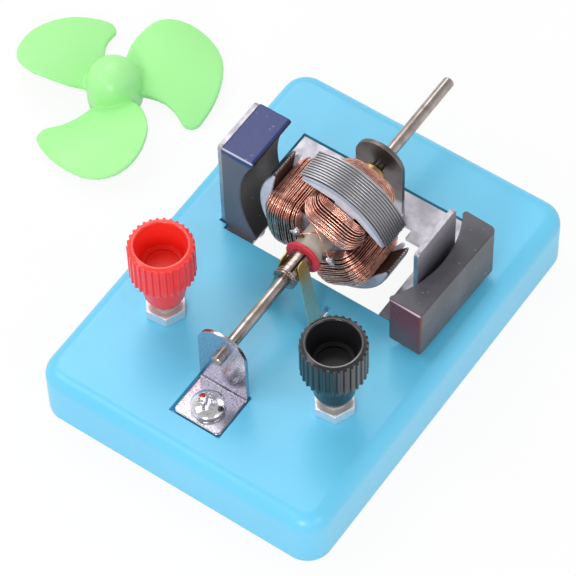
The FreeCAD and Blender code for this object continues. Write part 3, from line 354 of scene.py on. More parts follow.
def varnished_paper():
    """Insulating sleeve: smooth beige varnished paper, smudged darker in places."""
    finish = Finish("varnished_paper")
    smudge = finish.noise(0.35, detail=3).step(0.5, 0.8)
    fibre = finish.noise(3.5, detail=4)
    return finish.show(base_color=finish.mix(smudge * 0.7, "C4BCAE", "989086"),
                       roughness=0.42 + (fibre - 0.5) * 0.2,
                       normal=finish.bump(fibre, 0.15, 0.03 * MM, finish.edge(0.25 * MM)))


# ---------------------------------------------------------------- steel
# The yoke's rear tab lies behind and above these places; it is darkened with painted shade and a painted
# reflection of the rotor.
TAB_BEHIND = (27, 29)
TAB_ABOVE = (19, 21)
# The shaded part of the yoke lies left of the first place and before the left magnet's front face.
SHADE_RIGHT_END = (-17, -16)
SHADE_BACK_END = (LEFT_MAGNET[0].y / MM - 0.6, LEFT_MAGNET[0].y / MM + 0.2)
CRYSTALS_PER_METRE = 900.0


def plated_sheet():
    """Yoke: plated sheet with crystals, long fine streaks, dull patches, grime, bright worn edges, and
    painted shade on its rear tab and in front of the left magnet.
    """
    finish = Finish("plated_yoke_sheet")
    dull_code = "A9A6AF"
    streaks = finish.noise(6.0, detail=4, stretch=(1, 0.06, 1))
    patches = finish.noise(0.3, detail=4).step(0.38, 0.68)
    crystals = finish.node("ShaderNodeTexVoronoi", {
        "Vector": finish.place(), "Scale": CRYSTALS_PER_METRE})
    facets = finish.number("ShaderNodeRGBToBW", {0: crystals.outputs["Color"]}).step(0.2, 0.8)
    grime = finish.noise(0.7, detail=5).step(0.58, 0.8)
    # Painted shade and a painted dark reflection of the rotor on the rear tab.
    painted_tab_shade = finish.along("Y").step(*TAB_BEHIND) * finish.along("Z").step(*TAB_ABOVE)
    left_end = 1 - finish.along("X").step(*SHADE_RIGHT_END)
    shade = left_end * (1 - finish.along("Y").step(*SHADE_BACK_END))
    edge = finish.edge_mask(0.22 * MM)
    colour = finish.layers("C2BFC7", (patches, dull_code), (facets * 0.35, dull_code),
                           (grime * 0.4, "8C8A92"), (painted_tab_shade * 0.8, "5A5550"), (shade * 0.7, "35505E"),
                           (edge * 0.45, "E2E0E4"))
    return finish.show(
        base_color=colour, metallic=1.0, roughness=0.4 + (streaks - 0.5) * 0.14 + patches * 0.06,
        normal=finish.bump(streaks, 0.16, 0.02 * MM, finish.edge(0.12 * MM)))


def bright_metal(name, code, dull_code, roughness, scuff, metallic=1.0):
    """Bright plating with faint scuffs."""
    finish = Finish(name)
    scuffs = finish.noise(2.5, detail=5)
    return finish.show(
        base_color=finish.mix(scuffs.step(0.45, 0.75), code, dull_code), metallic=metallic,
        roughness=roughness + scuffs.step(0.45, 0.8) * scuff,
        normal=finish.bump(finish.noise(1.2, detail=3), 0.12, 0.03 * MM, finish.edge(0.15 * MM)))


def drawn_steel():
    """Shaft: drawn rod with brownish tarnish and lines along its length."""
    finish = Finish("drawn_steel")
    lines = finish.noise(4.0, detail=3, stretch=(1, 0.02, 1))
    tarnish = finish.noise(0.3, detail=3).step(0.35, 0.7)
    colour = finish.layers("B4AAA6", (tarnish, "968A84"), (lines.step(0.5, 0.8) * 0.5, "75695F"))
    return finish.show(
        base_color=colour, metallic=1.0, roughness=0.24 + (lines - 0.5) * 0.2 + tarnish * 0.06,
        normal=finish.bump(lines, 0.15, 0.02 * MM, finish.edge(0.1 * MM)))


# Radii about the shaft between which the stack's inner faces turn into its rim.
STACK_RIM = (17.6, 18.1)


def lamination_steel():
    """Silicon steel stampings: grey with bright cut edges, and, where they face the copper, brown with a
    painted reflection of the copper and painted shade.
    """
    finish = Finish("lamination_steel")
    stain = finish.noise(0.6, detail=5).step(0.5, 0.75)
    burr = finish.noise(3.0, detail=3)
    edge = finish.edge_mask(0.1 * MM)
    rim = finish.from_axis().step(*STACK_RIM)
    outside = finish.mix(stain * 0.4, "A6A5AA", "86817D")
    # Where the stampings face the windings: painted reflection of the copper, darkened with painted
    # shade.
    inside = finish.mix(stain * 0.6, "54382F", "30231F")
    return finish.show(
        base_color=finish.layers(inside, (rim, outside), (edge * rim * 0.7, "E4E3E6")),
        metallic=0.25 + rim * 0.6, roughness=0.34 + (burr - 0.5) * 0.25,
        normal=finish.bump(burr, 0.25, 0.03 * MM))


# ---------------------------------------------------------------- copper, brass, bronze and solder
def enamelled_copper():
    """Winding wire: copper under clear enamel, with darker and paler turns."""
    finish = Finish("enamelled_copper")
    tint = finish.noise(0.9, detail=2)
    dark = finish.noise(0.22, detail=2).step(0.5, 0.75)
    colour = finish.layers("E0967E", (tint.step(0.3, 0.7), "F9CABA"), (dark * 0.4, "A85F49"))
    return finish.show(base_color=colour, metallic=1.0, roughness=0.17 + (tint - 0.5) * 0.1,
                       coat_weight=0.3, coat_roughness=0.06)


def shaded_copper():
    """Deeper turns, seen only between the outer ones: dark, rough copper."""
    finish = Finish("shaded_copper")
    rows = finish.noise(2.0, detail=3)
    return finish.show(base_color=finish.mix(rows.step(0.35, 0.7), "6E3424", "3E1C13"),
                       metallic=0.7, roughness=0.5 + (rows - 0.5) * 0.2)


def worn_copper():
    """Commutator: pale brown copper, with tracks worn round it and wipes along it."""
    finish = Finish("worn_copper")
    tracks = finish.noise(3.0, detail=3, stretch=(0.2, 1, 0.2))
    wipes = finish.noise(3.0, detail=3, stretch=(1, 0.06, 1))
    colour = finish.layers("B5A9A2", (tracks.step(0.35, 0.7), "8E7F76"),
                           (wipes.step(0.5, 0.8) * 0.5, "6E5E54"))
    return finish.show(base_color=colour, metallic=1.0, roughness=0.26 + (wipes - 0.5) * 0.2,
                       normal=finish.bump(wipes, 0.15, 0.02 * MM, finish.edge(0.12 * MM)))


def turned_brass():
    """Turned brass, uneven in tone and gloss."""
    finish = Finish("turned_brass")
    tarnish = finish.noise(4.0, detail=3)
    return finish.show(base_color=finish.mix(tarnish.step(0.4, 0.75), "C6A270", "987648"),
                       metallic=1.0, roughness=0.32 + (tarnish - 0.5) * 0.2,
                       normal=finish.bump(tarnish, 0.15, 0.02 * MM, finish.edge(0.12 * MM)))


# Heights between which the brush strips turn golden.
BRUSH_GOLD = (27.5, 31.5)


def phosphor_bronze():
    """Brush strips: springy bronze, golden at the worn top and paler, greener lower down."""
    finish = Finish("phosphor_bronze")
    lines = finish.noise(5.0, detail=3, stretch=(1, 1, 0.05))
    ragged = (finish.noise(0.5, detail=2) - 0.5) * 3
    worn = (finish.along("Z") + ragged).step(*BRUSH_GOLD)
    colour = finish.layers("B9D2C4", (lines.step(0.35, 0.7), "A2BFB0"), (worn, "C4A965"))
    return finish.show(base_color=colour, metallic=0.75, roughness=0.3 + (lines - 0.5) * 0.15,
                       normal=finish.bump(lines, 0.12, 0.02 * MM, finish.edge(0.08 * MM)))


def solder():
    """Solder: bright, lumpy and frosted in places."""
    finish = Finish("solder")
    frost = finish.noise(2.5, detail=4)
    return finish.show(base_color=finish.mix(frost.step(0.4, 0.7), "DCDEE6", "9A9EAA"),
                       metallic=1.0, roughness=0.16 + frost.step(0.45, 0.7) * 0.3,
                       normal=finish.bump(finish.noise(1.6, detail=3), 0.6, 0.15 * MM))


# ---------------------------------------------------------------- magnets
def blue_top(finish, front, top):
    """Paint on the left magnet's top, running a little over its front edge."""
    ragged = (finish.noise(0.9, detail=3) - 0.5) * 1.2
    on_top = finish.along("Z").step(top - 0.35, top - 0.15)
    over_edge = (finish.along("Z") + ragged).step(top - 2.0, top - 1.6)
    at_front = 1 - finish.along("Y").step(front + 0.25, front + 0.4)
    return on_top.maximum(over_edge * at_front)


def red_end(finish, front, top):
    """Paint on the right magnet's front end, fading down."""
    ragged = (finish.noise(0.25, detail=3) - 0.5) * 9
    at_front = 1 - finish.along("Y").step(front + 0.45, front + 0.75)
    fade = (finish.along("Z") + ragged).step(top - 17, top - 3)
    return at_front * (0.2 + fade * 0.75)


def ferrite(name, box, code, dark_code, front_tone_and_painted_light, paint_code, paint_mask):
    """Magnet block: dark matt ferrite with pits, faces toned partly by painted light and shade, paint by
    a mask and a painted highlight along the upper front edge.
    """
    finish = Finish(name)
    front, top = box[0].y / MM, box[1].z / MM
    pits = finish.noise(2.2, detail=5)
    cloud = finish.noise(0.1, detail=3).step(0.3, 0.7)
    speck = finish.noise(1.3, detail=0).step(0.81, 0.84)
    paint = paint_mask(finish, front, top)
    edge = finish.edge_mask(0.22 * MM)
    # The body's dark tone and the front face's own tone are each partly the ferrite's colour and partly
    # painted light and shade on those faces.
    at_front = 1 - finish.along("Y").step(front + 0.2, front + 0.45)
    # With at_front this marks the upper front edge, where a pale painted highlight is laid.
    at_top = finish.along("Z").step(top - 0.45, top - 0.2)
    colour = finish.layers(code, (cloud, dark_code), (at_front, front_tone_and_painted_light), (paint, paint_code),
                           (edge * 0.3, "8A8A90"), (at_front * at_top * 0.6, "F0F2FA"),
                           (speck * 0.4, "A4A8B6"))
    return finish.show(base_color=colour, roughness=0.4 - paint * 0.1 + (pits - 0.5) * 0.25,
                       normal=finish.bump(pits, 0.25, 0.05 * MM, finish.edge(0.5 * MM)))


# ---------------------------------------------------------------- the finish of each slot
FINISHES = {
    "base_plastic": moulded("sky_blue_plastic", "60C9F0", "68CEF3", roughness=0.38, coat=0.15,
                            dirt=0.03, shine=0.8),
    "yoke_steel": plated_sheet(),
    "bright_steel": bright_metal("bright_nickel", "BDBAC6", "97949F", roughness=0.22, scuff=0.14),
    "ferrite_blue": ferrite("ferrite_blue_end", LEFT_MAGNET, "141417", "0E0E10", "5C5E6B",
                            "1F3070", blue_top),
    "ferrite_red": ferrite("ferrite_red_end", RIGHT_MAGNET, "5C5862", "46474C", "4C4D52",
                           "661A24", red_end),
    "shaft_steel": drawn_steel(),
    "lamination_steel": lamination_steel(),
    "end_plate_plastic": powder_coat(),
    "copper_wire": enamelled_copper(),
    "commutator_copper": worn_copper(),
    "drum_plastic": moulded("drum_plastic", "2A211D", "1C1613", roughness=0.5),
    "red_fibre": red_fibre(),
    "sleeve_plastic": varnished_paper(),
    "brass": turned_brass(),
    "black_plastic": cap_plastic("black_plastic", "black_cap", "15151A", "0C0C0F", "C8C4CC",
                                 roughness=0.22, floor_roughness=0.5),
    "brush_bronze": phosphor_bronze(),
    "red_plastic": cap_plastic("red_plastic", "red_cap", "F6352C", "E81E10", "FF9C88",
                               roughness=0.26, floor_roughness=0.45),
    "fan_plastic": moulded("pale_green_plastic", "A9F49B", "A3F094", roughness=0.34, coat=0.12),
}
CHROME = bright_metal("polished_screw", "F0F0F2", "C8C8CE", roughness=0.08, scuff=0.1)
NICKEL = bright_metal("pale_nickel", "E6E0D4", "C9C0AE", roughness=0.2, scuff=0.15)
NUT_PLATING = bright_metal("nut_plating", "EAE9ED", "CFCED6", roughness=0.3, scuff=0.15, metallic=0.6)
SHADED_COPPER = shaded_copper()
SHADED_STEEL = bright_metal("shaded_steel", "6E6C6E", "4E4A4A", roughness=0.45, scuff=0.2, metallic=0.3)
SOLDER = solder()


# ---------------------------------------------------------------- tools for modelling
def focus(piece):
    """Leave edit mode, deselect everything and make one piece active."""
    if bpy.context.object and bpy.context.object.mode != "OBJECT":
        bpy.ops.object.mode_set(mode="OBJECT")
    bpy.ops.object.select_all(action="DESELECT")
    piece.select_set(True)
    bpy.context.view_layer.objects.active = piece


def shape(piece, kind, **settings):
    """Add a modifier and apply it."""
    focus(piece)
    modifier = piece.modifiers.new(kind.title(), kind)
    for name, setting in settings.items():
        setattr(modifier, name, setting)
    bpy.ops.object.modifier_apply(modifier=modifier.name)


def pick(piece, wanted=lambda point: True):
    """Enter edit mode with the wanted points of a piece selected, or all of them."""
    focus(piece)
    bpy.ops.object.mode_set(mode="EDIT")
    bpy.ops.mesh.select_all(action="DESELECT")
    bpy.ops.object.mode_set(mode="OBJECT")
    for point in piece.data.vertices:
        point.select = wanted(point.co)
    bpy.ops.object.mode_set(mode="EDIT")


def settle(piece):
    """Put the piece's place, turn and size into its mesh."""
    focus(piece)
    bpy.ops.object.transform_apply(location=True, rotation=True, scale=True)


def smooth(piece, angle):
    """Shade a piece smooth over the edges that are gentler than an angle in degrees."""
    focus(piece)
    bpy.ops.object.shade_smooth_by_angle(angle=math.radians(angle))


def turn_on_axis(piece, angle):
    """Turn a piece about the shaft, by degrees seen from the front."""
    spin = Matrix.Rotation(math.radians(-angle), 4, "Y")
    piece.data.transform(Matrix.Translation(AXIS_POINT) @ spin @ Matrix.Translation(-AXIS_POINT))


def twin(piece, name):
    """A copy of a piece with its own mesh."""
    copy = piece.copy()
    copy.data = piece.data.copy()
    copy.name = name
    bpy.context.scene.collection.objects.link(copy)
    return copy


def join(pieces, name):
    """Join pieces into the first and name the result."""
    focus(pieces[0])
    for piece in pieces:
        piece.select_set(True)
    bpy.ops.object.join()
    bpy.context.object.name = name
    return bpy.context.object


def dress(piece, body, finish, replaces=()):
    """Give a piece its finish, its body and the nodes that it stands for."""
    piece.data.materials.clear()
    piece.data.materials.append(finish)
    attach(piece, body)
    if replaces:
        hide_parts(*replaces)


def merged_copy(node, name):
    """A copy of a CAD piece as one closed mesh with flat faces whole."""
    piece = bpy.data.objects.new(name, frame["nodes"][node].data.copy())
    bpy.context.scene.collection.objects.link(piece)
    focus(piece)
    bpy.ops.mesh.customdata_custom_splitnormals_clear()
    bpy.ops.object.mode_set(mode="EDIT")
    bpy.ops.mesh.select_all(action="SELECT")
    bpy.ops.mesh.remove_doubles(threshold=MERGE)
    bpy.ops.mesh.dissolve_limited(angle_limit=math.radians(0.5))
    bpy.ops.object.mode_set(mode="OBJECT")
    return piece


def sunken_copy(node, name, depth):
    """A copy of a CAD piece with its whole surface sunk by a depth."""
    piece = merged_copy(node, name)
    pick(piece)
    bpy.ops.transform.shrink_fatten(value=-depth)
    bpy.ops.object.mode_set(mode="OBJECT")
    return piece


# ---------------------------------------------------------------- CAD pieces with eased edges
EASED_MM = {
    "base_moulding": 0.12, "field_yoke": 0.1, "front_bracket": 0.09, "bracket_screw": 0.07,
    "magnet_left": 0.3, "magnet_right": 0.3, "rotor_shaft": 0.04, "end_plate_front": 0.34,
    "end_plate_rear": 0.34, "commutator_segment_one": 0.05, "commutator_segment_two": 0.05,
    "commutator_segment_three": 0.05, "commutator_collar": 0.06, "commutator_washer": 0.14,
    "front_sleeve": 0.3, "rear_sleeve": 0.2, "rear_collar": 0.1, "thrust_washer": 0.08,
    "brush_left": 0.04, "brush_right": 0.04, "red_top_nut": 0.08, "black_top_nut": 0.08,
    "red_stud": 0.03, "black_stud": 0.03, "red_cap_bush": 0.05, "black_cap_bush": 0.05,
}
OWN_FINISH = {
    "bracket_screw": CHROME, "red_top_nut": NUT_PLATING, "black_top_nut": NUT_PLATING,
    "red_cap_bush": NICKEL, "black_cap_bush": NICKEL, "red_stud": NICKEL, "black_stud": NICKEL,
}
CAPS = ("red_cap", "black_cap")
CONE_SHOULDER = 2.1 * MM
CONE_FULLNESS = 1.13
# Points of a cap nearer to its axis than this are its bore, not its cone.
CAP_BORE = 4 * MM


def dress_cad_nodes():
    """Every CAD node gets its slot's finish."""
    for node, piece in frame["nodes"].items():
        piece.data.materials.clear()
        piece.data.materials.append(FINISHES[SLOT_OF[node]])


def ease(piece, node, width, segments, sharp, gentle):
    """Round a copy's sharp edges, shade its gentle ones smooth and let it stand for its node."""
    shape(piece, "BEVEL", width=width, segments=segments, limit_method="ANGLE",
          angle_limit=math.radians(sharp), use_clamp_overlap=True, miter_outer="MITER_ARC")
    smooth(piece, gentle)
    shape(piece, "WEIGHTED_NORMAL", keep_sharp=True)
    slot = SLOT_OF[node]
    dress(piece, BODY_OF[node], OWN_FINISH.get(node, FINISHES[slot]), [node])


def make_eased_pieces():
    """Copies of CAD pieces with their sharp edges eased."""
    for node, edge_mm in EASED_MM.items():
        ease(merged_copy(node, node + "_eased"), node, edge_mm * MM, segments=2, sharp=30, gentle=40)


def make_caps():
    """Copies of the caps with a fuller, rounder cone under the ribs."""
    for node in CAPS:
        cap = merged_copy(node, node + "_eased")
        axis = middle(node)
        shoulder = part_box(node)[0].z + CONE_SHOULDER
        pick(cap)
        bpy.ops.mesh.bisect(plane_co=(0, 0, shoulder), plane_no=(0, 0, 1))
        pick(cap, lambda point: abs(point.z - shoulder) < MERGE
             and math.hypot(point.x - axis.x, point.y - axis.y) > CAP_BORE)
        bpy.ops.transform.resize(value=(CONE_FULLNESS, CONE_FULLNESS, 1),
                                 center_override=(axis.x, axis.y, shoulder))
        bpy.ops.object.mode_set(mode="OBJECT")
        ease(cap, node, 0.18 * MM, segments=3, sharp=12, gentle=45)


# ---------------------------------------------------------------- windings
WIRE_RADIUS = 0.19 * MM
LOOP_POINTS = 56
NECK_HALF = 3.15 * MM
COIL_INNER = 5.6 * MM
COIL_OUTER = 14.7 * MM
COIL_DEPTH = 4.5 * MM
COIL_WIDTH = 5.1 * MM
# How much less than the fullest turn the first and the last one stand out, as a share.
INNER_TAPER = 0.33
OUTER_TAPER = 0.52
# The last one's share on the long sides, which stay fuller towards the shoe.
SIDE_TAPER = 0.3
SHOE_FALL = math.radians(14.5)
TURN_PITCH = 0.52 * MM
PITCH_GROWTH = 0.45
PITCH_STEPS = 400
OUTER_UNEVENNESS = 0.06 * MM
SECOND_UNEVENNESS = 0.03 * MM
PROUD_WAVES = ((1, 2.4, 0), (0.6, 5.1, 1))
TILT_WAVES = ((0.35, 1.7, 0),)
TURN_WAVES = ((0.4, 2.9, 2),)
SECOND_SUNK = 1.6 * WIRE_RADIUS
DEEPER_SUNK = 0.75 * MM
END_SUNK = 2.1 * WIRE_RADIUS
END_PITCH = 2.3 * WIRE_RADIUS
SMALLEST_DEPTH = 0.3 * MM
STRAY_PROUD = 0.12 * MM
# Each stray turn's share of the way from the hub to the shoe, and its two leans in degrees.
STRAYS = ((0.30, 3.6, 2.0), (0.47, -4.2, -1.6), (0.62, 3.2, 2.6), (0.78, -2.4, 1.2))


def swell(along, outer_taper=OUTER_TAPER):
    """How far a turn stands out, as a share of the fullest turn."""
    across = 2 * along - 1
    return 1 - (INNER_TAPER * across ** 2 if across < 0 else outer_taper * across ** 3)


def make_loop(depth, width, fall):
    """A turn's line round an upright neck: a circle pulled apart, its sides falling with the shoe."""
    half_length = (PLATE_BACK - PLATE_FRONT) / 2
    bpy.ops.object.select_all(action="DESELECT")
    bpy.ops.mesh.primitive_circle_add(vertices=LOOP_POINTS, radius=depth)
    loop = bpy.context.object
    pick(loop)
    bpy.ops.transform.resize(value=(width / depth, 1, 1))
    for side in (-1, 1):
        pick(loop, lambda point: point.y * side > MERGE)
        bpy.ops.transform.translate(value=(0, side * half_length, 0))
        pick(loop, lambda point: point.x * side > MERGE)
        bpy.ops.transform.translate(value=(side * NECK_HALF, 0, 0))
        bpy.ops.transform.rotate(value=-side * fall, orient_axis="Y",
                                 center_override=(side * NECK_HALF, 0, 0))
    bpy.ops.object.mode_set(mode="OBJECT")
    return loop


def make_turn(along, sunk=0.0, proud=0.0, tilt=0.0, turn=0.0):
    """A turn at its share of the way from the hub to the shoe, leaning by two angles in degrees."""
    loop = make_loop(COIL_DEPTH * swell(along) - sunk + proud,
                     COIL_WIDTH * swell(along, SIDE_TAPER) - sunk + proud, SHOE_FALL * along)
    height = AXIS_Z + COIL_INNER + (COIL_OUTER - COIL_INNER) * along
    lean = Matrix.Rotation(math.radians(tilt), 4, "Y") @ Matrix.Rotation(math.radians(turn), 4, "X")
    loop.data.transform(Matrix.Translation((0, CORE_MIDDLE_Y, height)) @ lean)
    return loop


def turn_places(start):
    """Shares of the way where turns lie a pitch apart along the winding's face; the pitch grows."""
    places = []
    gone = start
    for step in range(PITCH_STEPS + 1):
        along = step / PITCH_STEPS
        if step:
            gone += math.hypot((COIL_OUTER - COIL_INNER) / PITCH_STEPS,
                               COIL_DEPTH * (swell(along) - swell(along - 1 / PITCH_STEPS)))
        pitch = TURN_PITCH * (1 + PITCH_GROWTH * along)
        if gone >= pitch:
            places.append(along)
            gone -= pitch
    return places


def make_layer(name, sunk, start, unevenness):
    """Turns side by side from the hub to the shoe, each a little out of line with the next."""
    turns = []
    for count, along in enumerate(turn_places(start)):
        turns.append(make_turn(along, sunk, unevenness * waver(count, PROUD_WAVES),
                               waver(count, TILT_WAVES), waver(count, TURN_WAVES)))
    return join(turns, name)


def make_ends(name):
    """Turns lying inside each other on both end faces of the winding."""
    turns = []
    for along in (0, 1):
        sunk = END_SUNK
        while COIL_DEPTH * swell(along) - sunk > SMALLEST_DEPTH:
            turns.append(make_turn(along, sunk))
            sunk += END_PITCH
    return join(turns, name)


def make_strays(name):
    """A few last turns that cross the others at a slant."""
    return join([make_turn(along, proud=STRAY_PROUD, tilt=tilt, turn=turn)
                 for along, tilt, turn in STRAYS], name)


def make_round(line, radius, roundness):
    """The mesh of a round wire along a curve."""
    line.data.bevel_depth = radius
    line.data.bevel_resolution = roundness
    focus(line)
    bpy.ops.object.convert(target="MESH")
    smooth(bpy.context.object, 80)
    return bpy.context.object


def thicken(loops):
    """Round wire along every loop of a piece."""
    settle(loops)
    focus(loops)
    bpy.ops.object.convert(target="CURVE")
    return make_round(bpy.context.object, WIRE_RADIUS, roundness=1)


def make_windings():
    """Wind one pole and copy its turns to all three, over a second layer and a dark core."""
    winding = thicken(join([make_layer("outer_turns", 0, TURN_PITCH, OUTER_UNEVENNESS),
                            make_ends("end_turns"), make_strays("slanting_turns")], "winding"))
    second = thicken(make_layer("second_turns", SECOND_SUNK, TURN_PITCH / 2, SECOND_UNEVENNESS))
    for word, angle in POLE_ANGLES.items():
        coil = twin(winding, "winding_" + word)
        turn_on_axis(coil, angle - UPRIGHT)
        dress(coil, "rotor", FINISHES["copper_wire"], ["coil_" + word])
        under = twin(second, "second_turns_" + word)
        turn_on_axis(under, angle - UPRIGHT)
        dress(under, "rotor", SHADED_COPPER)
        deeper = sunken_copy("coil_" + word, "deeper_turns_" + word, DEEPER_SUNK)
        smooth(deeper, 60)
        dress(deeper, "rotor", SHADED_COPPER)
    bpy.data.objects.remove(winding)
    bpy.data.objects.remove(second)


# ---------------------------------------------------------------- leads and solder
LEAD_RADIUS = 0.17 * MM
LEADS_MM = {
    "one": ((-3.6, 1.2, 33.9), (-1.9, 1.3, 35.4), (0.4, 2.6, 36.0), (2.3, 4.3, 35.7),
            (2.6, 6.0, 35.2)),
    "two": ((-3.5, 5.8, 37.0), (-2.1, 4.6, 38.1), (-0.3, 3.6, 38.1), (1.4, 3.0, 36.9),
            (3.5, 2.2, 34.6), (5.3, 1.5, 31.8), (6.2, 1.2, 30.8)),
    "three": ((1.6, 6.6, 21.4), (0.4, 4.6, 21.7), (-1.0, 2.6, 22.0), (-2.2, 1.7, 22.4),
              (-2.6, 1.4, 22.7)),
}
SOLDER_RADIUS = 0.95 * MM
SOLDER_SPREAD = (1.35, 0.8, 0.85)
SOLDER_LUMP = 1.1 * MM
SOLDER_PROUD = 0.25 * MM
SOLDER_FROM_AXIS = 6.2 * MM
SOLDER_OWN_TURN = 75


def make_leads():
    """Ends of the windings, brought to the solder tags: smooth curves through points."""
    for word, places in LEADS_MM.items():
        bpy.ops.object.select_all(action="DESELECT")
        bpy.ops.curve.primitive_nurbs_path_add()
        line = bpy.context.object
        line.name = "lead_" + word
        spline = line.data.splines[0]
        spline.points.add(max(0, len(places) - len(spline.points)))
        for point, place in zip(spline.points, places):
            point.co = (*(Vector(place) * MM), 1)
        spline.order_u = 4
        spline.use_endpoint_u = True
        line.data.resolution_u = 12
        line.data.use_fill_caps = True
        lead = make_round(line, LEAD_RADIUS, roundness=2)
        dress(lead, "rotor", FINISHES["copper_wire"])


def make_solder():
    """A drop of solder on the front of each tag: one lumpy drop, turned its own way each time."""
    lumps = bpy.data.textures.new("solder_lumps", "CLOUDS")
    lumps.noise_scale = 1.0 * MM
    tag_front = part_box("solder_tag_one")[0].y
    bpy.ops.object.select_all(action="DESELECT")
    bpy.ops.mesh.primitive_ico_sphere_add(subdivisions=4, radius=SOLDER_RADIUS)
    lump = bpy.context.object
    lump.scale = SOLDER_SPREAD
    settle(lump)
    shape(lump, "DISPLACE", texture=lumps, strength=SOLDER_LUMP, mid_level=0.5, texture_coords="LOCAL")
    smooth(lump, 80)
    above_axis = Matrix.Translation((0, tag_front - SOLDER_PROUD, AXIS_Z + SOLDER_FROM_AXIS))
    for count, (word, angle) in enumerate(TAG_ANGLES.items()):
        drop = twin(lump, "solder_" + word)
        drop.data.transform(above_axis @ Matrix.Rotation(math.radians(SOLDER_OWN_TURN * count), 4, "Y"))
        turn_on_axis(drop, angle - UPRIGHT)
        dress(drop, "rotor", SOLDER)
    bpy.data.objects.remove(lump)


# ---------------------------------------------------------------- laminations
LAMINATION_COUNT = 11
PATTERN_COUNT = 5
CUT_MARGIN = 0.145 * MM
STAMPING_EDGE = 0.06 * MM
TWIST_WAVES = ((0.25, 2.1, 0),)
FILLER_SUNK = 0.22 * MM


def cut_out(piece, low, high):
    """Keep what lies between two planes across the shaft, with closed cuts."""
    focus(piece)
    bpy.ops.object.mode_set(mode="EDIT")
    for place, side in ((low, -1), (high, 1)):
        bpy.ops.mesh.select_all(action="SELECT")
        bpy.ops.mesh.bisect(plane_co=(0, place, 0), plane_no=(0, side, 0), clear_outer=True)
    for place in (low, high):
        pick(piece, lambda point: abs(point.y - place) < MERGE)
        bpy.ops.mesh.fill()
    bpy.ops.mesh.select_all(action="SELECT")
    bpy.ops.mesh.normals_make_consistent(inside=False)
    bpy.ops.object.mode_set(mode="OBJECT")


def make_laminations():
    """Stampings cut from the stack between two of its grooves, each a hair out of line with the next."""
    pattern = merged_copy("armature_core", "stamping_pattern")
    pitch = (CORE_HIGH.y - CORE_LOW.y) / LAMINATION_COUNT
    cut_out(pattern, CORE_LOW.y + PATTERN_COUNT * pitch + CUT_MARGIN,
            CORE_LOW.y + (PATTERN_COUNT + 1) * pitch - CUT_MARGIN)
    stampings = []
    for count in range(LAMINATION_COUNT):
        stamping = twin(pattern, "stamping_%02d" % count)
        stamping.data.transform(Matrix.Translation((0, pitch * (count - PATTERN_COUNT), 0)))
        turn_on_axis(stamping, waver(count, TWIST_WAVES))
        stampings.append(stamping)
    bpy.data.objects.remove(pattern)
    stack = join(stampings, "lamination_stack")
    shape(stack, "BEVEL", width=STAMPING_EDGE, segments=1, limit_method="ANGLE",
          angle_limit=math.radians(40))
    smooth(stack, 30)
    dress(stack, "rotor", FINISHES["lamination_steel"], ["armature_core"])
    between = sunken_copy("armature_core", "between_stampings", FILLER_SUNK)
    dress(between, "rotor", SHADED_STEEL)


# ---------------------------------------------------------------- fan
FAN_VOXEL = 0.3 * MM
FAN_ROUNDS = 10


def make_fan():
    """The fan's copy, remeshed and relaxed so that every edge is as soft as a moulding's."""
    fan = merged_copy("fan", "soft_fan")
    shape(fan, "REMESH", mode="VOXEL", voxel_size=FAN_VOXEL, use_smooth_shade=True)
    shape(fan, "SMOOTH", factor=0.5, iterations=FAN_ROUNDS)
    focus(fan)
    bpy.ops.object.shade_smooth()
    dress(fan, "fan", FINISHES["fan_plastic"], ["fan"])


# ---------------------------------------------------------------- stage and light
FLOOR_SIZE = 6
FLOOR_DROP = 0.0003
FLOOR_COLOUR = (0.86, 0.86, 0.86, 1)
FLOOR_GLOW = 0.92
WORLD_LIGHT = 0.64
OVERHEAD = 0.5
# Height of the view's direction, from level at 0 to overhead at 1, where the backdrop greys.
GREYING = (0.1, 0.85)
# Azimuth and elevation in degrees, distance, size and watts: from the left in front, from the
# front, from the right and from behind.
LAMPS = {
    "key_lamp": (-50, 50, 0.9, 0.35, 1.2),
    "front_lamp": (17, 32, 0.9, 0.24, 2.0),
    "side_lamp": (80, 32, 1.0, 0.3, 1.0),
    "back_lamp": (236, 52, 0.7, 0.4, 1.3),
}


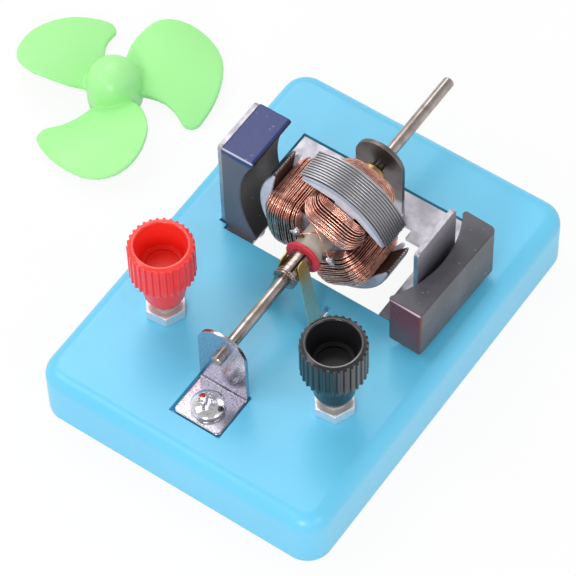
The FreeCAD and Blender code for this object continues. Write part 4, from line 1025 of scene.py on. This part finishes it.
def make_stage():
    """Plain white floor that keeps a faint shadow."""
    bpy.ops.object.select_all(action="DESELECT")
    bpy.ops.mesh.primitive_plane_add(size=FLOOR_SIZE, location=(0, 0, -FLOOR_DROP))
    floor = bpy.context.object
    floor.name = "floor"
    finish = Finish("white_floor")
    finish.show(base_color=FLOOR_COLOUR, roughness=0.9)
    glow = finish.node("ShaderNodeEmission", {"Color": WHITE, "Strength": 1.0})
    blend = finish.node("ShaderNodeMixShader", {
        0: finish.seen() * FLOOR_GLOW, 1: finish.shader.outputs[0], 2: glow.outputs[0]})
    finish.feed(finish.tree.nodes["Material Output"].inputs["Surface"], blend.outputs[0])
    floor.data.materials.append(finish.material)


def make_world():
    """Pale surroundings: white low down, greyer overhead, and dimmer as a light than as a backdrop."""
    world = bpy.data.worlds.new("studio")
    bpy.context.scene.world = world
    world.use_nodes = True
    nodes = Nodes(world.node_tree)
    light = nodes.tree.nodes["Background"]
    nodes.feed(light.inputs["Color"], WHITE)
    nodes.feed(light.inputs["Strength"], WORLD_LIGHT)
    view = nodes.node("ShaderNodeTexCoord").outputs["Generated"]
    split = nodes.node("ShaderNodeSeparateXYZ", {0: view})
    fall = nodes.number("ShaderNodeMapRange", {
        0: split.outputs["Z"], 1: GREYING[0], 2: GREYING[1], 3: 1.0, 4: OVERHEAD})
    backdrop = nodes.node("ShaderNodeBackground", {"Color": WHITE, "Strength": fall})
    blend = nodes.node("ShaderNodeMixShader", {
        0: nodes.seen(), 1: light.outputs[0], 2: backdrop.outputs[0]})
    nodes.feed(nodes.tree.nodes["World Output"].inputs["Surface"], blend.outputs[0])


def make_lamps():
    """Square soft lamps that look at the motor."""
    for name, (azimuth, elevation, distance, size, watts) in LAMPS.items():
        back = direction(azimuth, elevation)
        bpy.ops.object.light_add(type="AREA", location=back * distance)
        lamp = bpy.context.object
        lamp.name = name
        lamp.data.shape = "SQUARE"
        lamp.data.size = size
        lamp.data.energy = watts
        lamp.rotation_mode = "QUATERNION"
        lamp.rotation_quaternion = back.to_track_quat("Z", "Y")


# ---------------------------------------------------------------- the whole scene
dress_cad_nodes()
make_windings()
make_leads()
make_solder()
make_laminations()
make_fan()
make_eased_pieces()
make_caps()

make_stage()
make_world()
make_lamps()
bpy.context.scene.view_settings.view_transform = "Standard"
